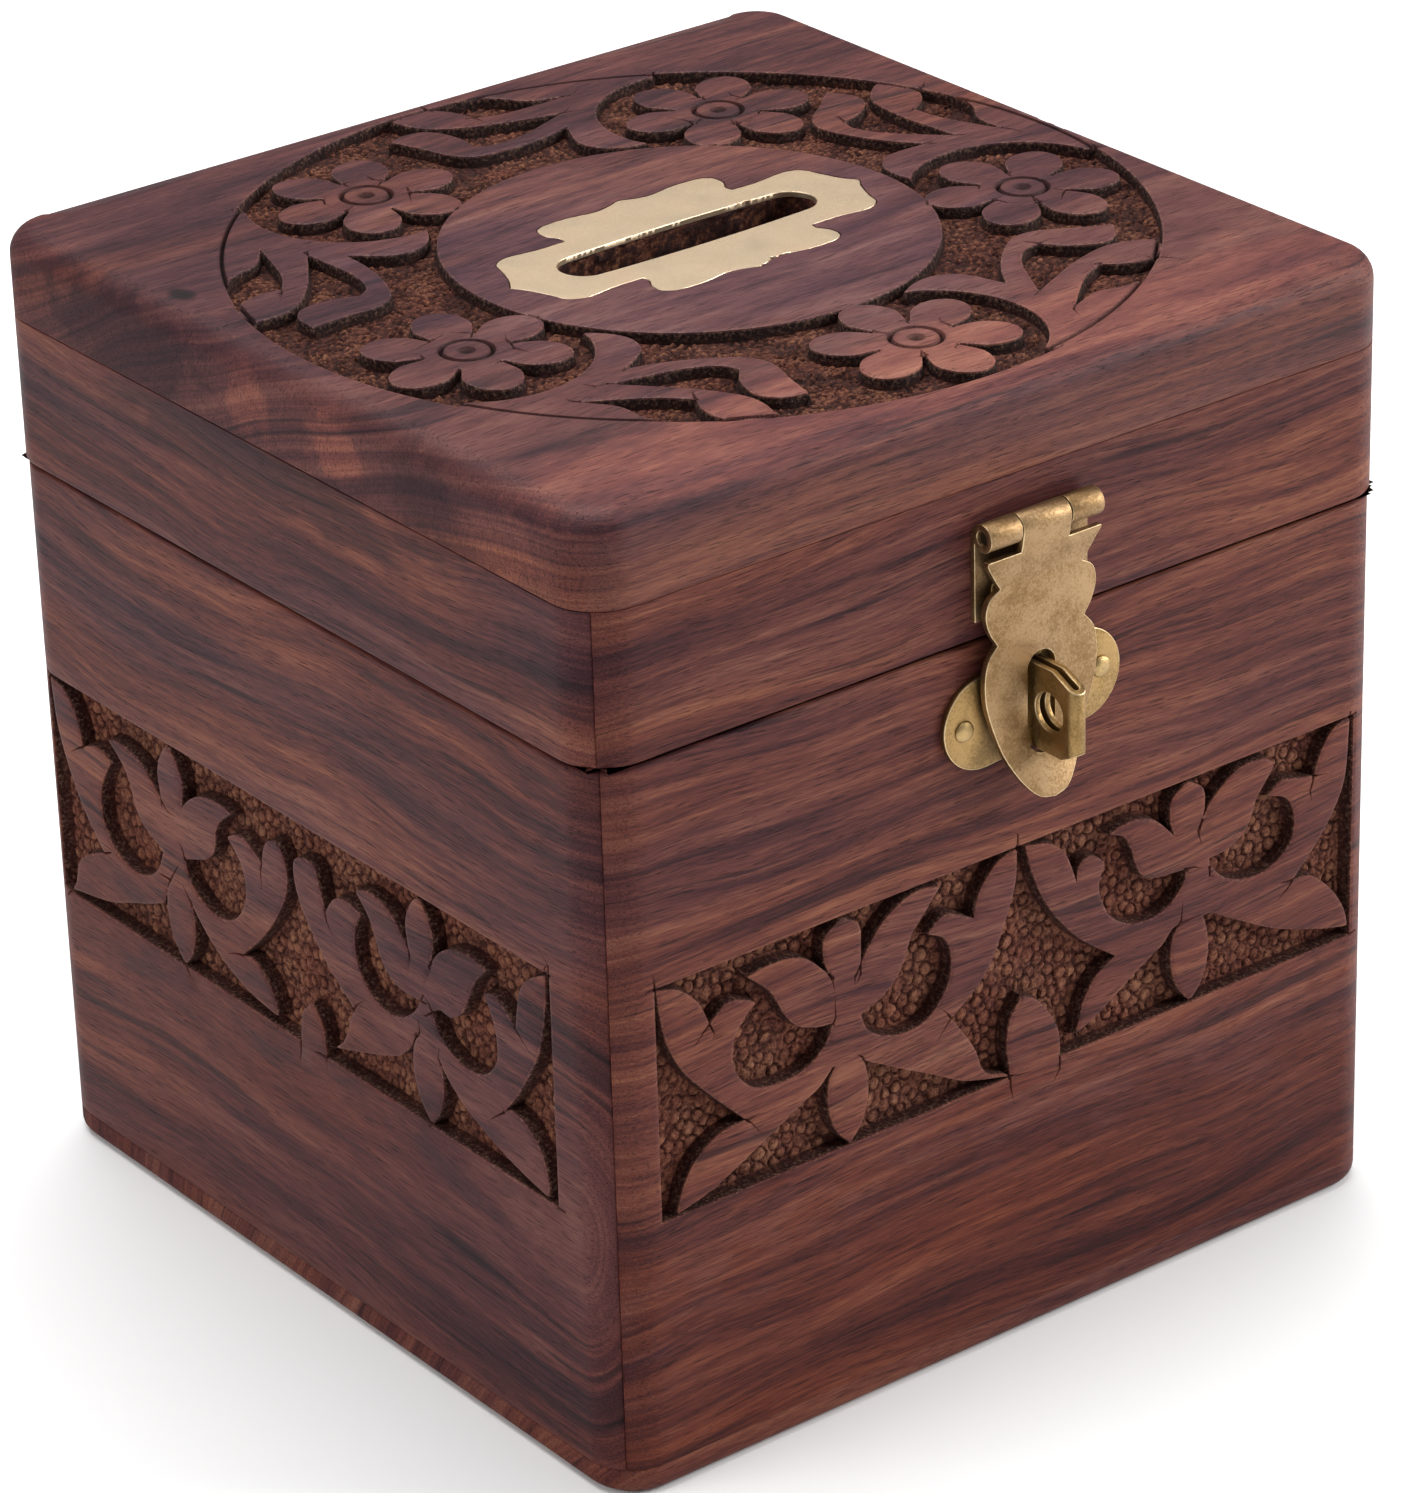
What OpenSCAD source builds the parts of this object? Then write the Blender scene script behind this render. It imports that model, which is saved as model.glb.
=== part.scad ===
// Carved hardwood money box: a mitred base and lid, back hinges, a hasp and staple, and a
// brass coin-slot plate. The origin is under the middle of the box, +Z is up, the hasp faces -Y.

/* [Box] */
// Width of the base from left to right
body_w = 100; // [98:0.5:102]
// Depth of the base and lid from front to back
body_d = 101; // [99:0.5:103]
// Height of the closed box
body_h = 105; // [103:0.5:110]
// Height of the seam between base and lid
seam_z = 79.35; // [79:0.05:80]
// Thickness of the side boards
wall_t = 8; // [7:0.5:9]
// Thickness of the top board
top_t = 9.5; // [9:0.5:11]
// Thickness of the bottom board
bottom_t = 3; // [2.5:0.5:5]

/* [Edges] */
// Radius of the upright corners
corner_r = 5.5; // [4:0.5:6]
// Radius of the rounded edge round the top board
top_round = 3; // [2:0.5:3]
// Radius of the rounded edge round the bottom board
bottom_round = 1.5; // [0.5:0.5:2]
// Gap at the seam when the lid is down
lid_gap = 0.3; // [0.2:0.1:0.5]
// How far the lid stands proud of the base on each side
lid_overhang = 0.3; // [0:0.1:0.5]

/* [Carving] */
// Depth of the punched ground in the side bands
band_depth = 1.7; // [1:0.1:3]
// Height of the lower edge of the side bands
band_z = 30; // [25:1:35]
// Depth of the chiselled ground in the top ring
ring_depth = 1.3; // [0.8:0.1:3]
// Radius of the plain disc inside the ring
disc_r = 25.3; // [25:0.1:26]
// Radius of the incised line round the ring
ring_r = 46.8; // [46:0.1:47]

/* [Coin slot] */
// Length of the coin slot
slot_len = 31.5; // [28:0.5:33]
// Width of the coin slot
slot_w = 5.7; // [5:0.1:7]
// Thickness of the inlaid slot plate
plate_t = 0.6; // [0.5:0.1:1.5]

/* [Hasp] */
// Sideways place of the hasp
hasp_x = 2.1; // [0:0.1:3]
// Height of the hasp's hinge pin
hasp_z = 90.9; // [90.5:0.1:91.5]
// Thickness of the brass sheet of hasp and staple
sheet_t = 0.65; // [0.5:0.05:0.7]
// Sideways place of the staple
staple_x = 2.2; // [0:0.1:3]
// How far the staple's ears are turned, as nailed on by hand
ear_tilt = 5; // [0:1:6]
// Height of the middle of the staple
staple_z = 71.4; // [71:0.1:72]
// Radius of the padlock hole
padlock_r = 2.05; // [1.8:0.05:2.1]

/* [Hinges] */
// Sideways distance of each back hinge from the middle
hinge_x = 27; // [22:1:30]
// Width of a back hinge
hinge_w = 18; // [15:1:20]
// Height of each hinge leaf
hinge_leaf_h = 9; // [8:0.5:10]

/* [Hidden] */
$fn = 64;

// Overlap of a cutter past the face that it opens
cut = 1;
// Room outside the box that the mitre wedges cover
wedge_m = 8;
lid_w = body_w + 2 * lid_overhang;
base_top = seam_z - lid_gap / 2;
lid_bottom = seam_z + lid_gap / 2;
rail_top = body_h - top_t;

// The carved band and the two scroll motifs in it
band_h = 25.5;
// Each half of a motif is its scroll, the leaf's inner and outer edges, the lower leaf's upper and
// lower edges, the round hollow, the cup's lower and upper edges and the bud's half width near
// its top. They are measured outwards from the motif's middle and up from the band's foot. All
// are cut by hand, so no two are alike.
front_left_out = [
    [[10.6, 19.8], [12.4, 20.7], [14.3, 20.9], [16.3, 19.5]],
    [[16.3, 19.5], [17.3, 21.8], [18.6, 23.4], [20.3, 24.6], [22.5, 25.2]],
    [[22.5, 25.2], [21.7, 20], [19.8, 15.8], [16.8, 12.2], [12.2, 7.5]],
    [[12.2, 7.5], [15.4, 7.2], [18.3, 5.5], [20, 3], [20.9, 0.3]],
    [[20.9, 0.3], [16.5, 1.4], [10.9, 4], [3, 7.9]],
    [[1.3, 14.2], [2.3, 12.3], [4.4, 10.6], [7.6, 10], [11.2, 10.7], [13.4, 13.4], [13.5, 16.4],
     [12.2, 18.5], [10.6, 19.8]],
    [[1.3, 14.2], [3.4, 14.5], [5.6, 15.4], [7.2, 17.2], [8.1, 19], [9.2, 20.7], [11.6, 22.9]],
    [[11.6, 22.9], [9.3, 23.2], [6.8, 23.1], [4.3, 22.2], [1.6, 19.6]],
    2.1,
];
front_left_in = [
    [[10.6, 19.8], [12, 20.8], [13.4, 21], [16.5, 19.5]],
    [[16.5, 19.5], [17.1, 21.8], [18.4, 23.6], [20, 24.8], [22.1, 25.2]],
    [[22.1, 25.2], [21.7, 20.9], [19.2, 14.8], [17, 11.9], [13.5, 9.4]],
    [[13.5, 9.4], [15.5, 6.5], [16.6, 4.6], [17.3, 2.6], [18.4, 1.3], [20.9, 0.5]],
    [[20.9, 0.2], [15.3, 1.7], [11.4, 3.8], [6.7, 6.3], [3.2, 8.3]],
    [[2.1, 13.9], [2.9, 12], [4.8, 10.6], [7.6, 9.9], [10.4, 10.4], [12.8, 12.8], [13.6, 15.6],
     [12.9, 18.4], [10.6, 19.8]],
    [[2.1, 13.9], [4.8, 14.9], [6.7, 16.4], [7.75, 18.3], [8.7, 20.5], [10.4, 22.4], [12.3, 24.5]],
    [[12.3, 24.5], [10.2, 24.9], [8.2, 24.7], [5.7, 23.5], [3.9, 21.8], [2.2, 19.4]],
    2.1,
];
front_right_in = [
    [[10.8, 19.8], [12.6, 21.1], [14.3, 20.7], [14.7, 18.9]],
    [[14.7, 18.9], [15.4, 21], [16.3, 22.8], [18, 24.3], [21.3, 25.2]],
    [[21.3, 25.2], [20.4, 21.8], [18.6, 17.8], [15.7, 13.9], [12.9, 11.3], [9.6, 8.9]],
    [[9.6, 8.9], [12.2, 7.4], [13.8, 5.2], [14.4, 3.2], [14.9, 1.8]],
    [[14.9, 1.8], [11.6, 3.2], [7.1, 5.9], [3.3, 7.9]],
    [[-0.3, 15.4], [0.9, 13.4], [2.8, 11.9], [5.4, 11.4], [8.3, 12.1], [10.4, 13.8], [11.6, 16.4],
     [11.6, 18.4], [10.8, 19.8]],
    [[-0.3, 15.4], [1.9, 15.6], [4.1, 15.8], [5.8, 16.5], [6.9, 18.3], [7.5, 20.3], [8.5, 21.9],
     [10.5, 22.8]],
    [[10.5, 22.8], [8.7, 23.2], [6.6, 23.2], [4.2, 22.2], [1.7, 19.7]],
    2.1,
];
front_right_out = [
    [[10.8, 20.1], [12.9, 21.1], [15.2, 20.6], [17.2, 20.2]],
    [[17.2, 20.2], [17.9, 22.1], [18.9, 23.8], [20.3, 25], [22.1, 25.3]],
    [[22.1, 25.3], [21.6, 19], [20.3, 15.8], [18.1, 12.8], [14.5, 9.25]],
    [[14.5, 9.25], [16.6, 9], [18.2, 8], [20.3, 5.8], [21.8, 3.3], [22.4, 1.2]],
    [[22.4, 1.2], [18.4, 2.2], [12.2, 4.4], [5.9, 7.8], [3.4, 9.3]],
    [[3, 15.6], [3.6, 14.2], [5.4, 12.5], [8.4, 11.5], [11.4, 11.8], [13.9, 13.5], [14.6, 16],
     [13.6, 18.8], [10.8, 20.1]],
    [[3, 15.6], [5.3, 15.8], [7.5, 16.8], [8.6, 18.3], [9.3, 20.2], [10.5, 21.7], [11.8, 23.3]],
    [[11.8, 23.3], [10.4, 24.4], [7.2, 24.5], [4.9, 23.4], [3.1, 21.9], [1.9, 20.2]],
    2.1,
];
side_left_out = [
    [[11.3, 19.1], [12.8, 19.7], [14.4, 19.8], [16.7, 18.9]],
    [[16.7, 18.9], [17.2, 21.2], [18.2, 23], [19.7, 24.4], [22.3, 25.1]],
    [[22.3, 25.1], [21.7, 20.8], [20.7, 17.4], [19.2, 14.2], [17, 10.8], [14, 7.5]],
    [[14, 7.5], [16.3, 6.5], [18.3, 5.3], [19.5, 3.9], [20.2, 1.6], [21.1, 0.5]],
    [[21.1, 0.5], [13.9, 1.8], [9.2, 3.5], [5.4, 4.9], [2.7, 6.1]],
    [[2.2, 12.4], [3.3, 10], [5.3, 8.3], [8.2, 7.6], [11.6, 8.7], [13.5, 11.3], [13.8, 14.2],
     [13, 16.6], [11.3, 19.1]],
    [[2.2, 12.4], [4.2, 13.2], [6.2, 14.3], [7.3, 16.1], [7.8, 18], [9.2, 19.9], [11.5, 21.7]],
    [[11.5, 21.7], [10, 22], [7.3, 21.8], [5, 20.9], [3.6, 19.8], [1.9, 18.4]],
    1.4,
];
side_left_in = [
    [[10.2, 18.8], [11.8, 19.6], [13.4, 19.7], [16.4, 18.2]],
    [[16.4, 18.2], [16.9, 20.2], [17.9, 21.3], [19.6, 21.7]],
    [[19.6, 21.7], [20.6, 20], [20.9, 18], [20.1, 15.4], [18.1, 12.3], [15.4, 9.2], [11.7, 5.8]],
    [[11.7, 5.8], [13.6, 6.1], [15.3, 5.2], [16.7, 3.9], [17.6, 2.1], [17.6, 1.1]],
    [[17.6, 1.1], [12.7, 1.8], [8.9, 3.2], [5.8, 5], [3.3, 7.2]],
    [[1.9, 13], [2.5, 11], [4.4, 9.3], [7.2, 8.5], [10.3, 9.3], [12.5, 11.6], [13.1, 14.2],
     [12.4, 16.7], [10.2, 18.8]],
    [[1.9, 13], [4.9, 14.1], [6.6, 15], [7.7, 16.5], [8.1, 18.5], [9.2, 20.2], [11.1, 21.7]],
    [[11.1, 21.7], [9.6, 22], [7.4, 21.9], [5.2, 21.4], [3.3, 20.3], [1.9, 18.9]],
    1.4,
];
side_right_in = [
    [[10, 19.3], [12.5, 19.8], [14.7, 19.2], [16.4, 17.1]],
    [[16.4, 17.1], [17.2, 19.6], [18, 21.5], [19.6, 21.8]],
    [[19.6, 21.8], [21.6, 20.8], [21.5, 17.8], [20.2, 15.3], [18.2, 12.8], [15.8, 10.5],
     [12.1, 7.8]],
    [[12.1, 7.8], [13, 6.3], [13.6, 4.6], [14.6, 3], [16.1, 1.8]],
    [[16.1, 1.8], [11.6, 3.2], [7.9, 4.4], [4.7, 5.7], [2.9, 7.1]],
    [[0.3, 13.7], [1.4, 12.1], [3.4, 10.6], [6, 9.9], [8.8, 10.7], [10.8, 12.7], [11.4, 15.4],
     [11, 17.8], [10, 19.3]],
    [[0.3, 13.7], [2.9, 13.5], [5, 14], [6.6, 15.3], [7.5, 17.1], [8.1, 18.7], [9.1, 20.1],
     [10.8, 21.7]],
    [[10.8, 21.7], [8.8, 22.4], [6.3, 22.1], [4.1, 21], [1.9, 18.5]],
    1.4,
];
side_right_out = [
    [[10.4, 18.9], [12.1, 19.4], [13.9, 18.6], [15.6, 17.3]],
    [[15.6, 17.3], [16, 19.6], [16.6, 21.9], [18.2, 23.7], [20.9, 25.2]],
    [[20.9, 25.2], [20.7, 22], [20.2, 19.2], [19.3, 16.1], [17.6, 13], [15.3, 9.6], [12.9, 6.8]],
    [[12.9, 6.8], [14.2, 7.6], [16.2, 7.3], [18.1, 6], [19.4, 4.4], [20, 2.1], [20, 0.4]],
    [[20, 0.4], [16.5, 1.1], [12.8, 2.1], [9, 3.5], [5.9, 5], [3.4, 6.9]],
    [[1.6, 13.2], [2.6, 11.2], [4.6, 9.8], [7.2, 9.2], [10.2, 9.9], [12.2, 12.2], [12.3, 15],
     [11.4, 17.6], [10.4, 18.9]],
    [[1.6, 13.2], [2.8, 14], [4.7, 13.9], [6.7, 15.2], [7.8, 17.1], [8.7, 18.9], [9.7, 20.3],
     [11.1, 21.7]],
    [[11.1, 21.7], [8.4, 22.1], [5.6, 21.7], [3.3, 20.5], [1.8, 18.7]],
    1.4,
];
// The small leaf that stands on the border between two motifs, its left and right edges
front_middle_leaf = [
    [[-0.4, -cut], [-0.4, 0.6], [-0.8, 4], [-0.2, 6.8], [1.2, 8.6]],
    [[1.2, 8.6], [3.2, 7.5], [5, 5.1], [6.1, 2.5], [6.1, -cut]],
];
side_middle_leaf = [
    [[-2, -cut], [-2.1, 0.5], [-1.5, 3.5], [0.3, 5.4]],
    [[0.3, 5.4], [1.9, 3.6], [2.4, 0.8], [2.4, -cut]],
];
// Each band is its two ends, its two motifs and the small leaf. A motif is its middle and halves
front_band = [-44.1, 45.9, [-21.4, front_left_out, front_left_in],
              [23.1, front_right_in, front_right_out], front_middle_leaf];
side_band = [-47, 41.6, [-23.8, side_left_out, side_left_in],
             [20.1, side_right_in, side_right_out], side_middle_leaf];

// The ring of flowers, set out by eye round the top
ring_c = [0.6, -0.4];
flower_angles = [-90, -20, 47.4, 120.3, 195.3];
flower_at = 35.6;
eye_r = 2.55;
pit_r = 0.9;
line_w = 0.5;
line_depth = 0.7;

// The coin-slot plate
plate_c = [0.85, 0.1];

// The hasp: a knuckle joint in front of the lid's front rail
knuckle_r = 1.45;
knuckle_out = knuckle_r + 0.3;
hasp_pin_r = 0.75;
run_gap = 0.05;
hasp_w = 14.2;
tongue_w = 6;
side_gap = 0.15;
strap_slot_w = 3.5;
strap_slot_z = [66.4, 77.2];
eye_w = 1.95;
eye_out = 7.9;
padlock_out = 4.15;
ear_r = 4.9;
ear_x = 6.3;
nail_x = 8.75;
leaf_nail_x = 4;
leaf_nail_z = 84.6;
leaf_nail_h = 0.35;

// Round-headed brass nails
nail_r = 0.55;
nail_len = 6;
head_r = 1.15;
head_h = 0.5;

// The back hinges
hinge_t = 0.8;
hinge_r = 1.6;
hinge_out = hinge_r + 0.3;
hinge_pin_r = 0.8;
hinge_clear = 1.9;
hinge_nail_x = 5.6;
hinge_nail_z = 6.4;

wood = "#6b4238";
end_wood = "#5c3830";
brass = "#b2935d";
bright_brass = "#d9c38c";

// ---- Outlines -------------------------------------------------------------------------

// Smooth curve through the points p, without the last one; outlines join curves at corners
function curve(p, n = 4) = [
    for (i = [0 : len(p) - 2])
        let (a = i > 0 ? p[i - 1] : 2 * p[0] - p[1])
        let (b = p[i], c = p[i + 1])
        let (d = i < len(p) - 2 ? p[i + 2] : 2 * p[i + 1] - p[i])
        for (k = [0 : n - 1])
            let (t = k / n)
            b + t / 2 * (c - a + t * (2 * a - 5 * b + 4 * c - d + t * (3 * (b - c) + d - a)))
];

function end(p) = p[len(p) - 1];

function flip_x(p) = [for (i = [len(p) - 1 : -1 : 0]) [-p[i].x, p[i].y]];
function flip_y(p) = [for (i = [len(p) - 1 : -1 : 0]) [p[i].x, -p[i].y]];

// Outline with the points of p up the right side and the same mirrored down the left
module both_sides(p) {
    polygon(concat(p, flip_x(p)));
}

module rounded_rect(w, d, r) {
    square([w - 2 * r, d], center = true);
    square([w, d - 2 * r], center = true);
    for (x = [-1, 1], y = [-1, 1])
        translate([x * (w / 2 - r), y * (d / 2 - r)]) circle(r);
}

module stadium(len, w) {
    square([len - w, w], center = true);
    for (x = [-1, 1]) translate([x * (len - w) / 2, 0]) circle(w / 2);
}

// ---- Places on the box ------------------------------------------------------------------

// Puts what is drawn looking along +Z onto the outer face of a side: 0 front, 1 right, 2 back, 3 left
module on_side(side, w = body_w) {
    out = side % 2 == 0 ? body_d / 2 : w / 2;
    rotate([0, 0, 90 * side]) translate([0, -out, 0]) rotate([90, 0, 0]) children();
}

// Puts children at the nail places of the staple's two ears
module at_ear_nails() {
    for (x = [-nail_x, nail_x])
        on_side(0) translate([staple_x, staple_z, 0]) rotate(ear_tilt) translate([x, 0, 0])
            children();
}

// Puts children at the nail places of the hasp's fixed leaf
module at_leaf_nails() {
    for (x = [-leaf_nail_x, leaf_nail_x])
        on_side(0) translate([hasp_x + x, leaf_nail_z, 0]) children();
}

module at_hinge_nails(side, z) {
    for (x = [-hinge_nail_x, hinge_nail_x])
        on_side(2) translate([-side * hinge_x + x, z, 0]) children();
}

// The quarter of the frame that one side board fills, between its two mitres
module wedge(side, w, d) {
    m = wedge_m;
    if (side % 2 == 0)
        rotate(90 * side)
            polygon([[-w / 2 - m, -d / 2 - m], [w / 2 + m, -d / 2 - m], [0, -d / 2 + w / 2]]);
    else
        rotate(90 * side)
            polygon([[-d / 2 - m, -w / 2 - m], [d / 2 + m, -w / 2 - m], [0, -w / 2 + d / 2]]);
}

// A side board with mitred ends, from z0 to z1
module side_board(side, w, z0, z1) {
    translate([0, 0, z0]) linear_extrude(z1 - z0) intersection() {
        difference() {
            rounded_rect(w, body_d, corner_r);
            square([w - 2 * wall_t, body_d - 2 * wall_t], center = true);
        }
        wedge(side, w, body_d);
    }
}

// A flat board whose upper or lower edge is rounded all round
module edge_board(w, z0, z1, r, round_top) {
    h = z1 - z0;
    intersection() {
        translate([0, 0, z0]) linear_extrude(h) rounded_rect(w, body_d, corner_r);
        for_edge(w, body_d, 0, z0, z1, r, round_top);
        for_edge(body_d, w, 90, z0, z1, r, round_top);
    }
}

module for_edge(w, d, turn, z0, z1, r, round_top) {
    far = d / 2 + cut;
    rotate([90, 0, turn]) translate([0, 0, -far]) linear_extrude(2 * far) {
        translate([-w / 2, round_top ? z0 - cut : z0 + r])
            square([w, z1 - z0 + cut - r]);
        translate([-w / 2 + r, z0 - (round_top ? cut : 0)])
            square([w - 2 * r, z1 - z0 + cut]);
        for (x = [-1, 1])
            translate([x * (w / 2 - r), round_top ? z1 - r : z0 + r]) circle(r);
    }
}

// ---- Carving ------------------------------------------------------------------------------

// Half of a motif's leaves, which lies towards +X, with its hollow still filled in
module half_leaves(h) {
    polygon(concat([[-0.5, 14.5], [5, 14.5], [9.3, 17]], curve(h[0]), curve(h[1]), curve(h[2]),
                   curve(h[3]), curve(h[4]), [end(h[4]), [1.5, 9.4], [-0.5, 9.4]]));
}

module half_hollow(h) {
    polygon(concat(curve(h[5]), [end(h[5]), [4, 18.4]]));
}

// Half of the tulip cup over the leaves, with half of the bud between its petals
module half_cup(h) {
    stem = h[5][0];
    polygon(concat([[-0.2, 11], [max(stem.x, 0.1), 12]], curve(h[6]), curve(h[7]),
                   curve([end(h[7]), [2.3, 21.6], [h[8], 23.8], [0.3, 25.1]]),
                   [[0.3, 25.1], [-0.2, 25.1]]));
}

// Leaf that hangs from a motif's middle to the foot of the band
module foot_leaf() {
    polygon(concat([[2, 10], [-1, 10]],
                   curve([[-1, 9.6], [-2, 7.8], [-2.1, 5], [-1.2, 2.2], [0.5, 0.2]]),
                   curve([[0.5, 0.2], [2, 1.9], [2.9, 5], [2.6, 8.6]])));
}

module motif(m) {
    translate([m[0], 0]) {
        difference() {
            union() {
                mirror([1, 0]) half_leaves(m[1]);
                half_leaves(m[2]);
            }
            mirror([1, 0]) half_hollow(m[1]);
            half_hollow(m[2]);
        }
        mirror([1, 0]) half_cup(m[1]);
        half_cup(m[2]);
        foot_leaf();
    }
}

// The sunk ground of a side band, as a cutter in the plane of the face
module band_ground(band) {
    translate([0, band_z, -band_depth]) linear_extrude(band_depth + cut) difference() {
        translate([band[0], 0]) square([band[1] - band[0], band_h]);
        motif(band[2]);
        motif(band[3]);
        polygon(concat(curve(band[4][0]), curve(band[4][1]), [end(band[4][1])]));
    }
}

// Six-petalled flower with one petal pointing out along +X
module flower() {
    petal = curve([[1, -1.4], [3.6, -1.9], [6.6, -2.95], [9.3, -2.1], [10.4, 0],
                   [9.3, 2.1], [6.6, 2.95], [3.6, 1.9], [1, 1.4]], 2);
    circle(4.4);
    for (a = [0 : 60 : 300]) rotate(a) polygon(petal);
}

// Crescent, two stems and their leaves beside the flower that lies towards -Y from the middle
module branch() {
    polygon(concat(
        curve([[6.5, -25.9], [8.8, -24.7], [11.4, -24.5], [13.9, -26.2], [15.5, -30.7]]),
        curve([[15.5, -30.7], [17.5, -27.6], [20.3, -24.5], [23.8, -22], [26.8, -22.1],
               [30, -24], [33.6, -25.9]]),
        curve([[33.6, -25.9], [32, -28.2], [29.5, -28.9], [26.5, -27.2], [24.7, -24.9]]),
        curve([[24.7, -24.9], [22.5, -25.3], [19.8, -28.2], [16.5, -34.5]]),
        curve([[16.5, -34.5], [20, -32.8], [24, -31], [28.5, -29.8], [31.5, -30.2], [34.4, -31.9]]),
        curve([[34.4, -31.9], [32.5, -34.3], [30, -35.2], [27.5, -34.5], [25.6, -33]]),
        curve([[25.6, -33], [22.5, -34.5], [19.5, -37], [16.7, -39.6]]),
        curve([[16.7, -39.6], [20.5, -38.3], [24, -39], [27, -38.4], [31, -35.6]]),
        [[31, -35.6], [35, -40], [20, -52], [8, -52]],
        [for (a = [-56 : 8 : 56]) [1.4, -36] + 11.5 * [cos(a), sin(a)]]
    ));
}

// The sunk ground of the top ring, as a cutter in the plane of the top
module ring_ground() {
    difference() {
        circle(ring_r + line_w);
        circle(disc_r);
        for (a = flower_angles) rotate(a) translate([flower_at, 0]) flower();
        for (a = flower_angles) rotate(a + 90) branch();
    }
}

// A shallow V line round a circle of radius r
module v_line(r) {
    rotate_extrude() translate([r, 0])
        polygon([[-line_w / 2, 0.05], [0, -line_depth], [line_w / 2, 0.05]]);
}

module ring_carving() {
    translate([0, 0, -ring_depth]) linear_extrude(ring_depth + cut) ring_ground();
    v_line(ring_r);
    for (a = flower_angles) rotate(a) translate([flower_at, 0]) {
        v_line(eye_r);
        translate([0, 0, -line_depth]) cylinder(r = pit_r, h = line_depth + cut);
    }
}

// ---- Brass sheet and nails ----------------------------------------------------------------

// Nail through a sheet of thickness t that lies on the plane z = 0
module nail(t, h = head_h) {
    translate([0, 0, -nail_len]) cylinder(r = nail_r, h = nail_len + t);
    translate([0, 0, t]) rotate_extrude()
        polygon([[0, 0], [head_r, 0], [head_r * 0.9, h * 0.5], [head_r * 0.55, h * 0.9], [0, h]]);
}

module nail_hole(t = 0) {
    translate([0, 0, -nail_len]) cylinder(r = nail_r, h = nail_len + t + cut);
}

// Right half of the slot plate's top edge, from its end tip to its middle peak
plate_quarter = concat(
    curve([[22.15, 0], [21.1, 1.7], [20.2, 4], [19.5, 6], [17.6, 6.9], [14.2, 6.5], [10.7, 6.5]], 3),
    curve([[10.7, 6.5], [10.6, 7.4], [11.3, 8.7], [11.2, 10.4], [9.8, 11.3], [6.6, 11.4],
           [3.2, 10.9], [0, 11.8]], 3)
);

module plate_outline() {
    half = concat(plate_quarter, [[0, 11.8]], flip_x([for (i = [1 : len(plate_quarter) - 1])
        plate_quarter[i]]));
    polygon(concat(half, [for (p = half) -p]));
}

// Pin-wise knuckle from x0 to x1 about the axis at the origin
module knuckle(r, x0, x1) {
    translate([x0, 0, 0]) rotate([0, 90, 0]) cylinder(r = r, h = x1 - x0);
}

// Moves to the hasp's pin axis
module at_hasp_pin() {
    translate([hasp_x, -body_d / 2 - knuckle_out, hasp_z]) children();
}

// Moves to the back hinge's pin axis; side is -1 for the left hinge and 1 for the right
module at_hinge_pin(side) {
    translate([side * hinge_x, body_d / 2 + hinge_out, seam_z]) children();
}

// ---- Wooden parts -------------------------------------------------------------------------

module base_front_board() {
    color(wood) difference() {
        side_board(0, body_w, bottom_t, base_top);
        on_side(0) band_ground(front_band);
        at_ear_nails() nail_hole();
    }
}

module base_back_board() {
    color(wood) difference() {
        side_board(2, body_w, bottom_t, base_top);
        on_side(2) band_ground(side_band);
        for (s = [-1, 1]) at_hinge_nails(s, seam_z - hinge_nail_z) nail_hole();
    }
}

module base_left_board() {
    color(wood) difference() {
        side_board(3, body_w, bottom_t, base_top);
        on_side(3) band_ground(side_band);
    }
}

module base_right_board() {
    color(wood) difference() {
        side_board(1, body_w, bottom_t, base_top);
        on_side(1) band_ground(side_band);
    }
}

module bottom_board() {
    color(end_wood) edge_board(body_w, 0, bottom_t, bottom_round, false);
}

module lid_top_board() {
    color(wood) difference() {
        edge_board(lid_w, rail_top, body_h, top_round, true);
        translate([ring_c.x, ring_c.y, body_h]) ring_carving();
        translate([plate_c.x, plate_c.y, body_h - plate_t]) linear_extrude(plate_t + cut)
            plate_outline();
        translate([plate_c.x, plate_c.y, rail_top - cut]) linear_extrude(top_t + 2 * cut)
            stadium(slot_len, slot_w);
    }
}

module lid_front_rail() {
    color(wood) difference() {
        side_board(0, lid_w, lid_bottom, rail_top);
        at_leaf_nails() nail_hole();
    }
}

module lid_back_rail() {
    color(wood) difference() {
        side_board(2, lid_w, lid_bottom, rail_top);
        for (s = [-1, 1]) at_hinge_nails(s, seam_z + hinge_nail_z) nail_hole();
    }
}

module lid_left_rail() {
    color(wood) side_board(3, lid_w, lid_bottom, rail_top);
}

module lid_right_rail() {
    color(wood) side_board(1, lid_w, lid_bottom, rail_top);
}

// ---- Coin-slot plate ----------------------------------------------------------------------

module slot_plate() {
    color(bright_brass) translate([plate_c.x, plate_c.y, body_h - plate_t])
        linear_extrude(plate_t) difference() {
            plate_outline();
            stadium(slot_len, slot_w);
        }
}

// ---- Hasp and staple ----------------------------------------------------------------------

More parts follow.
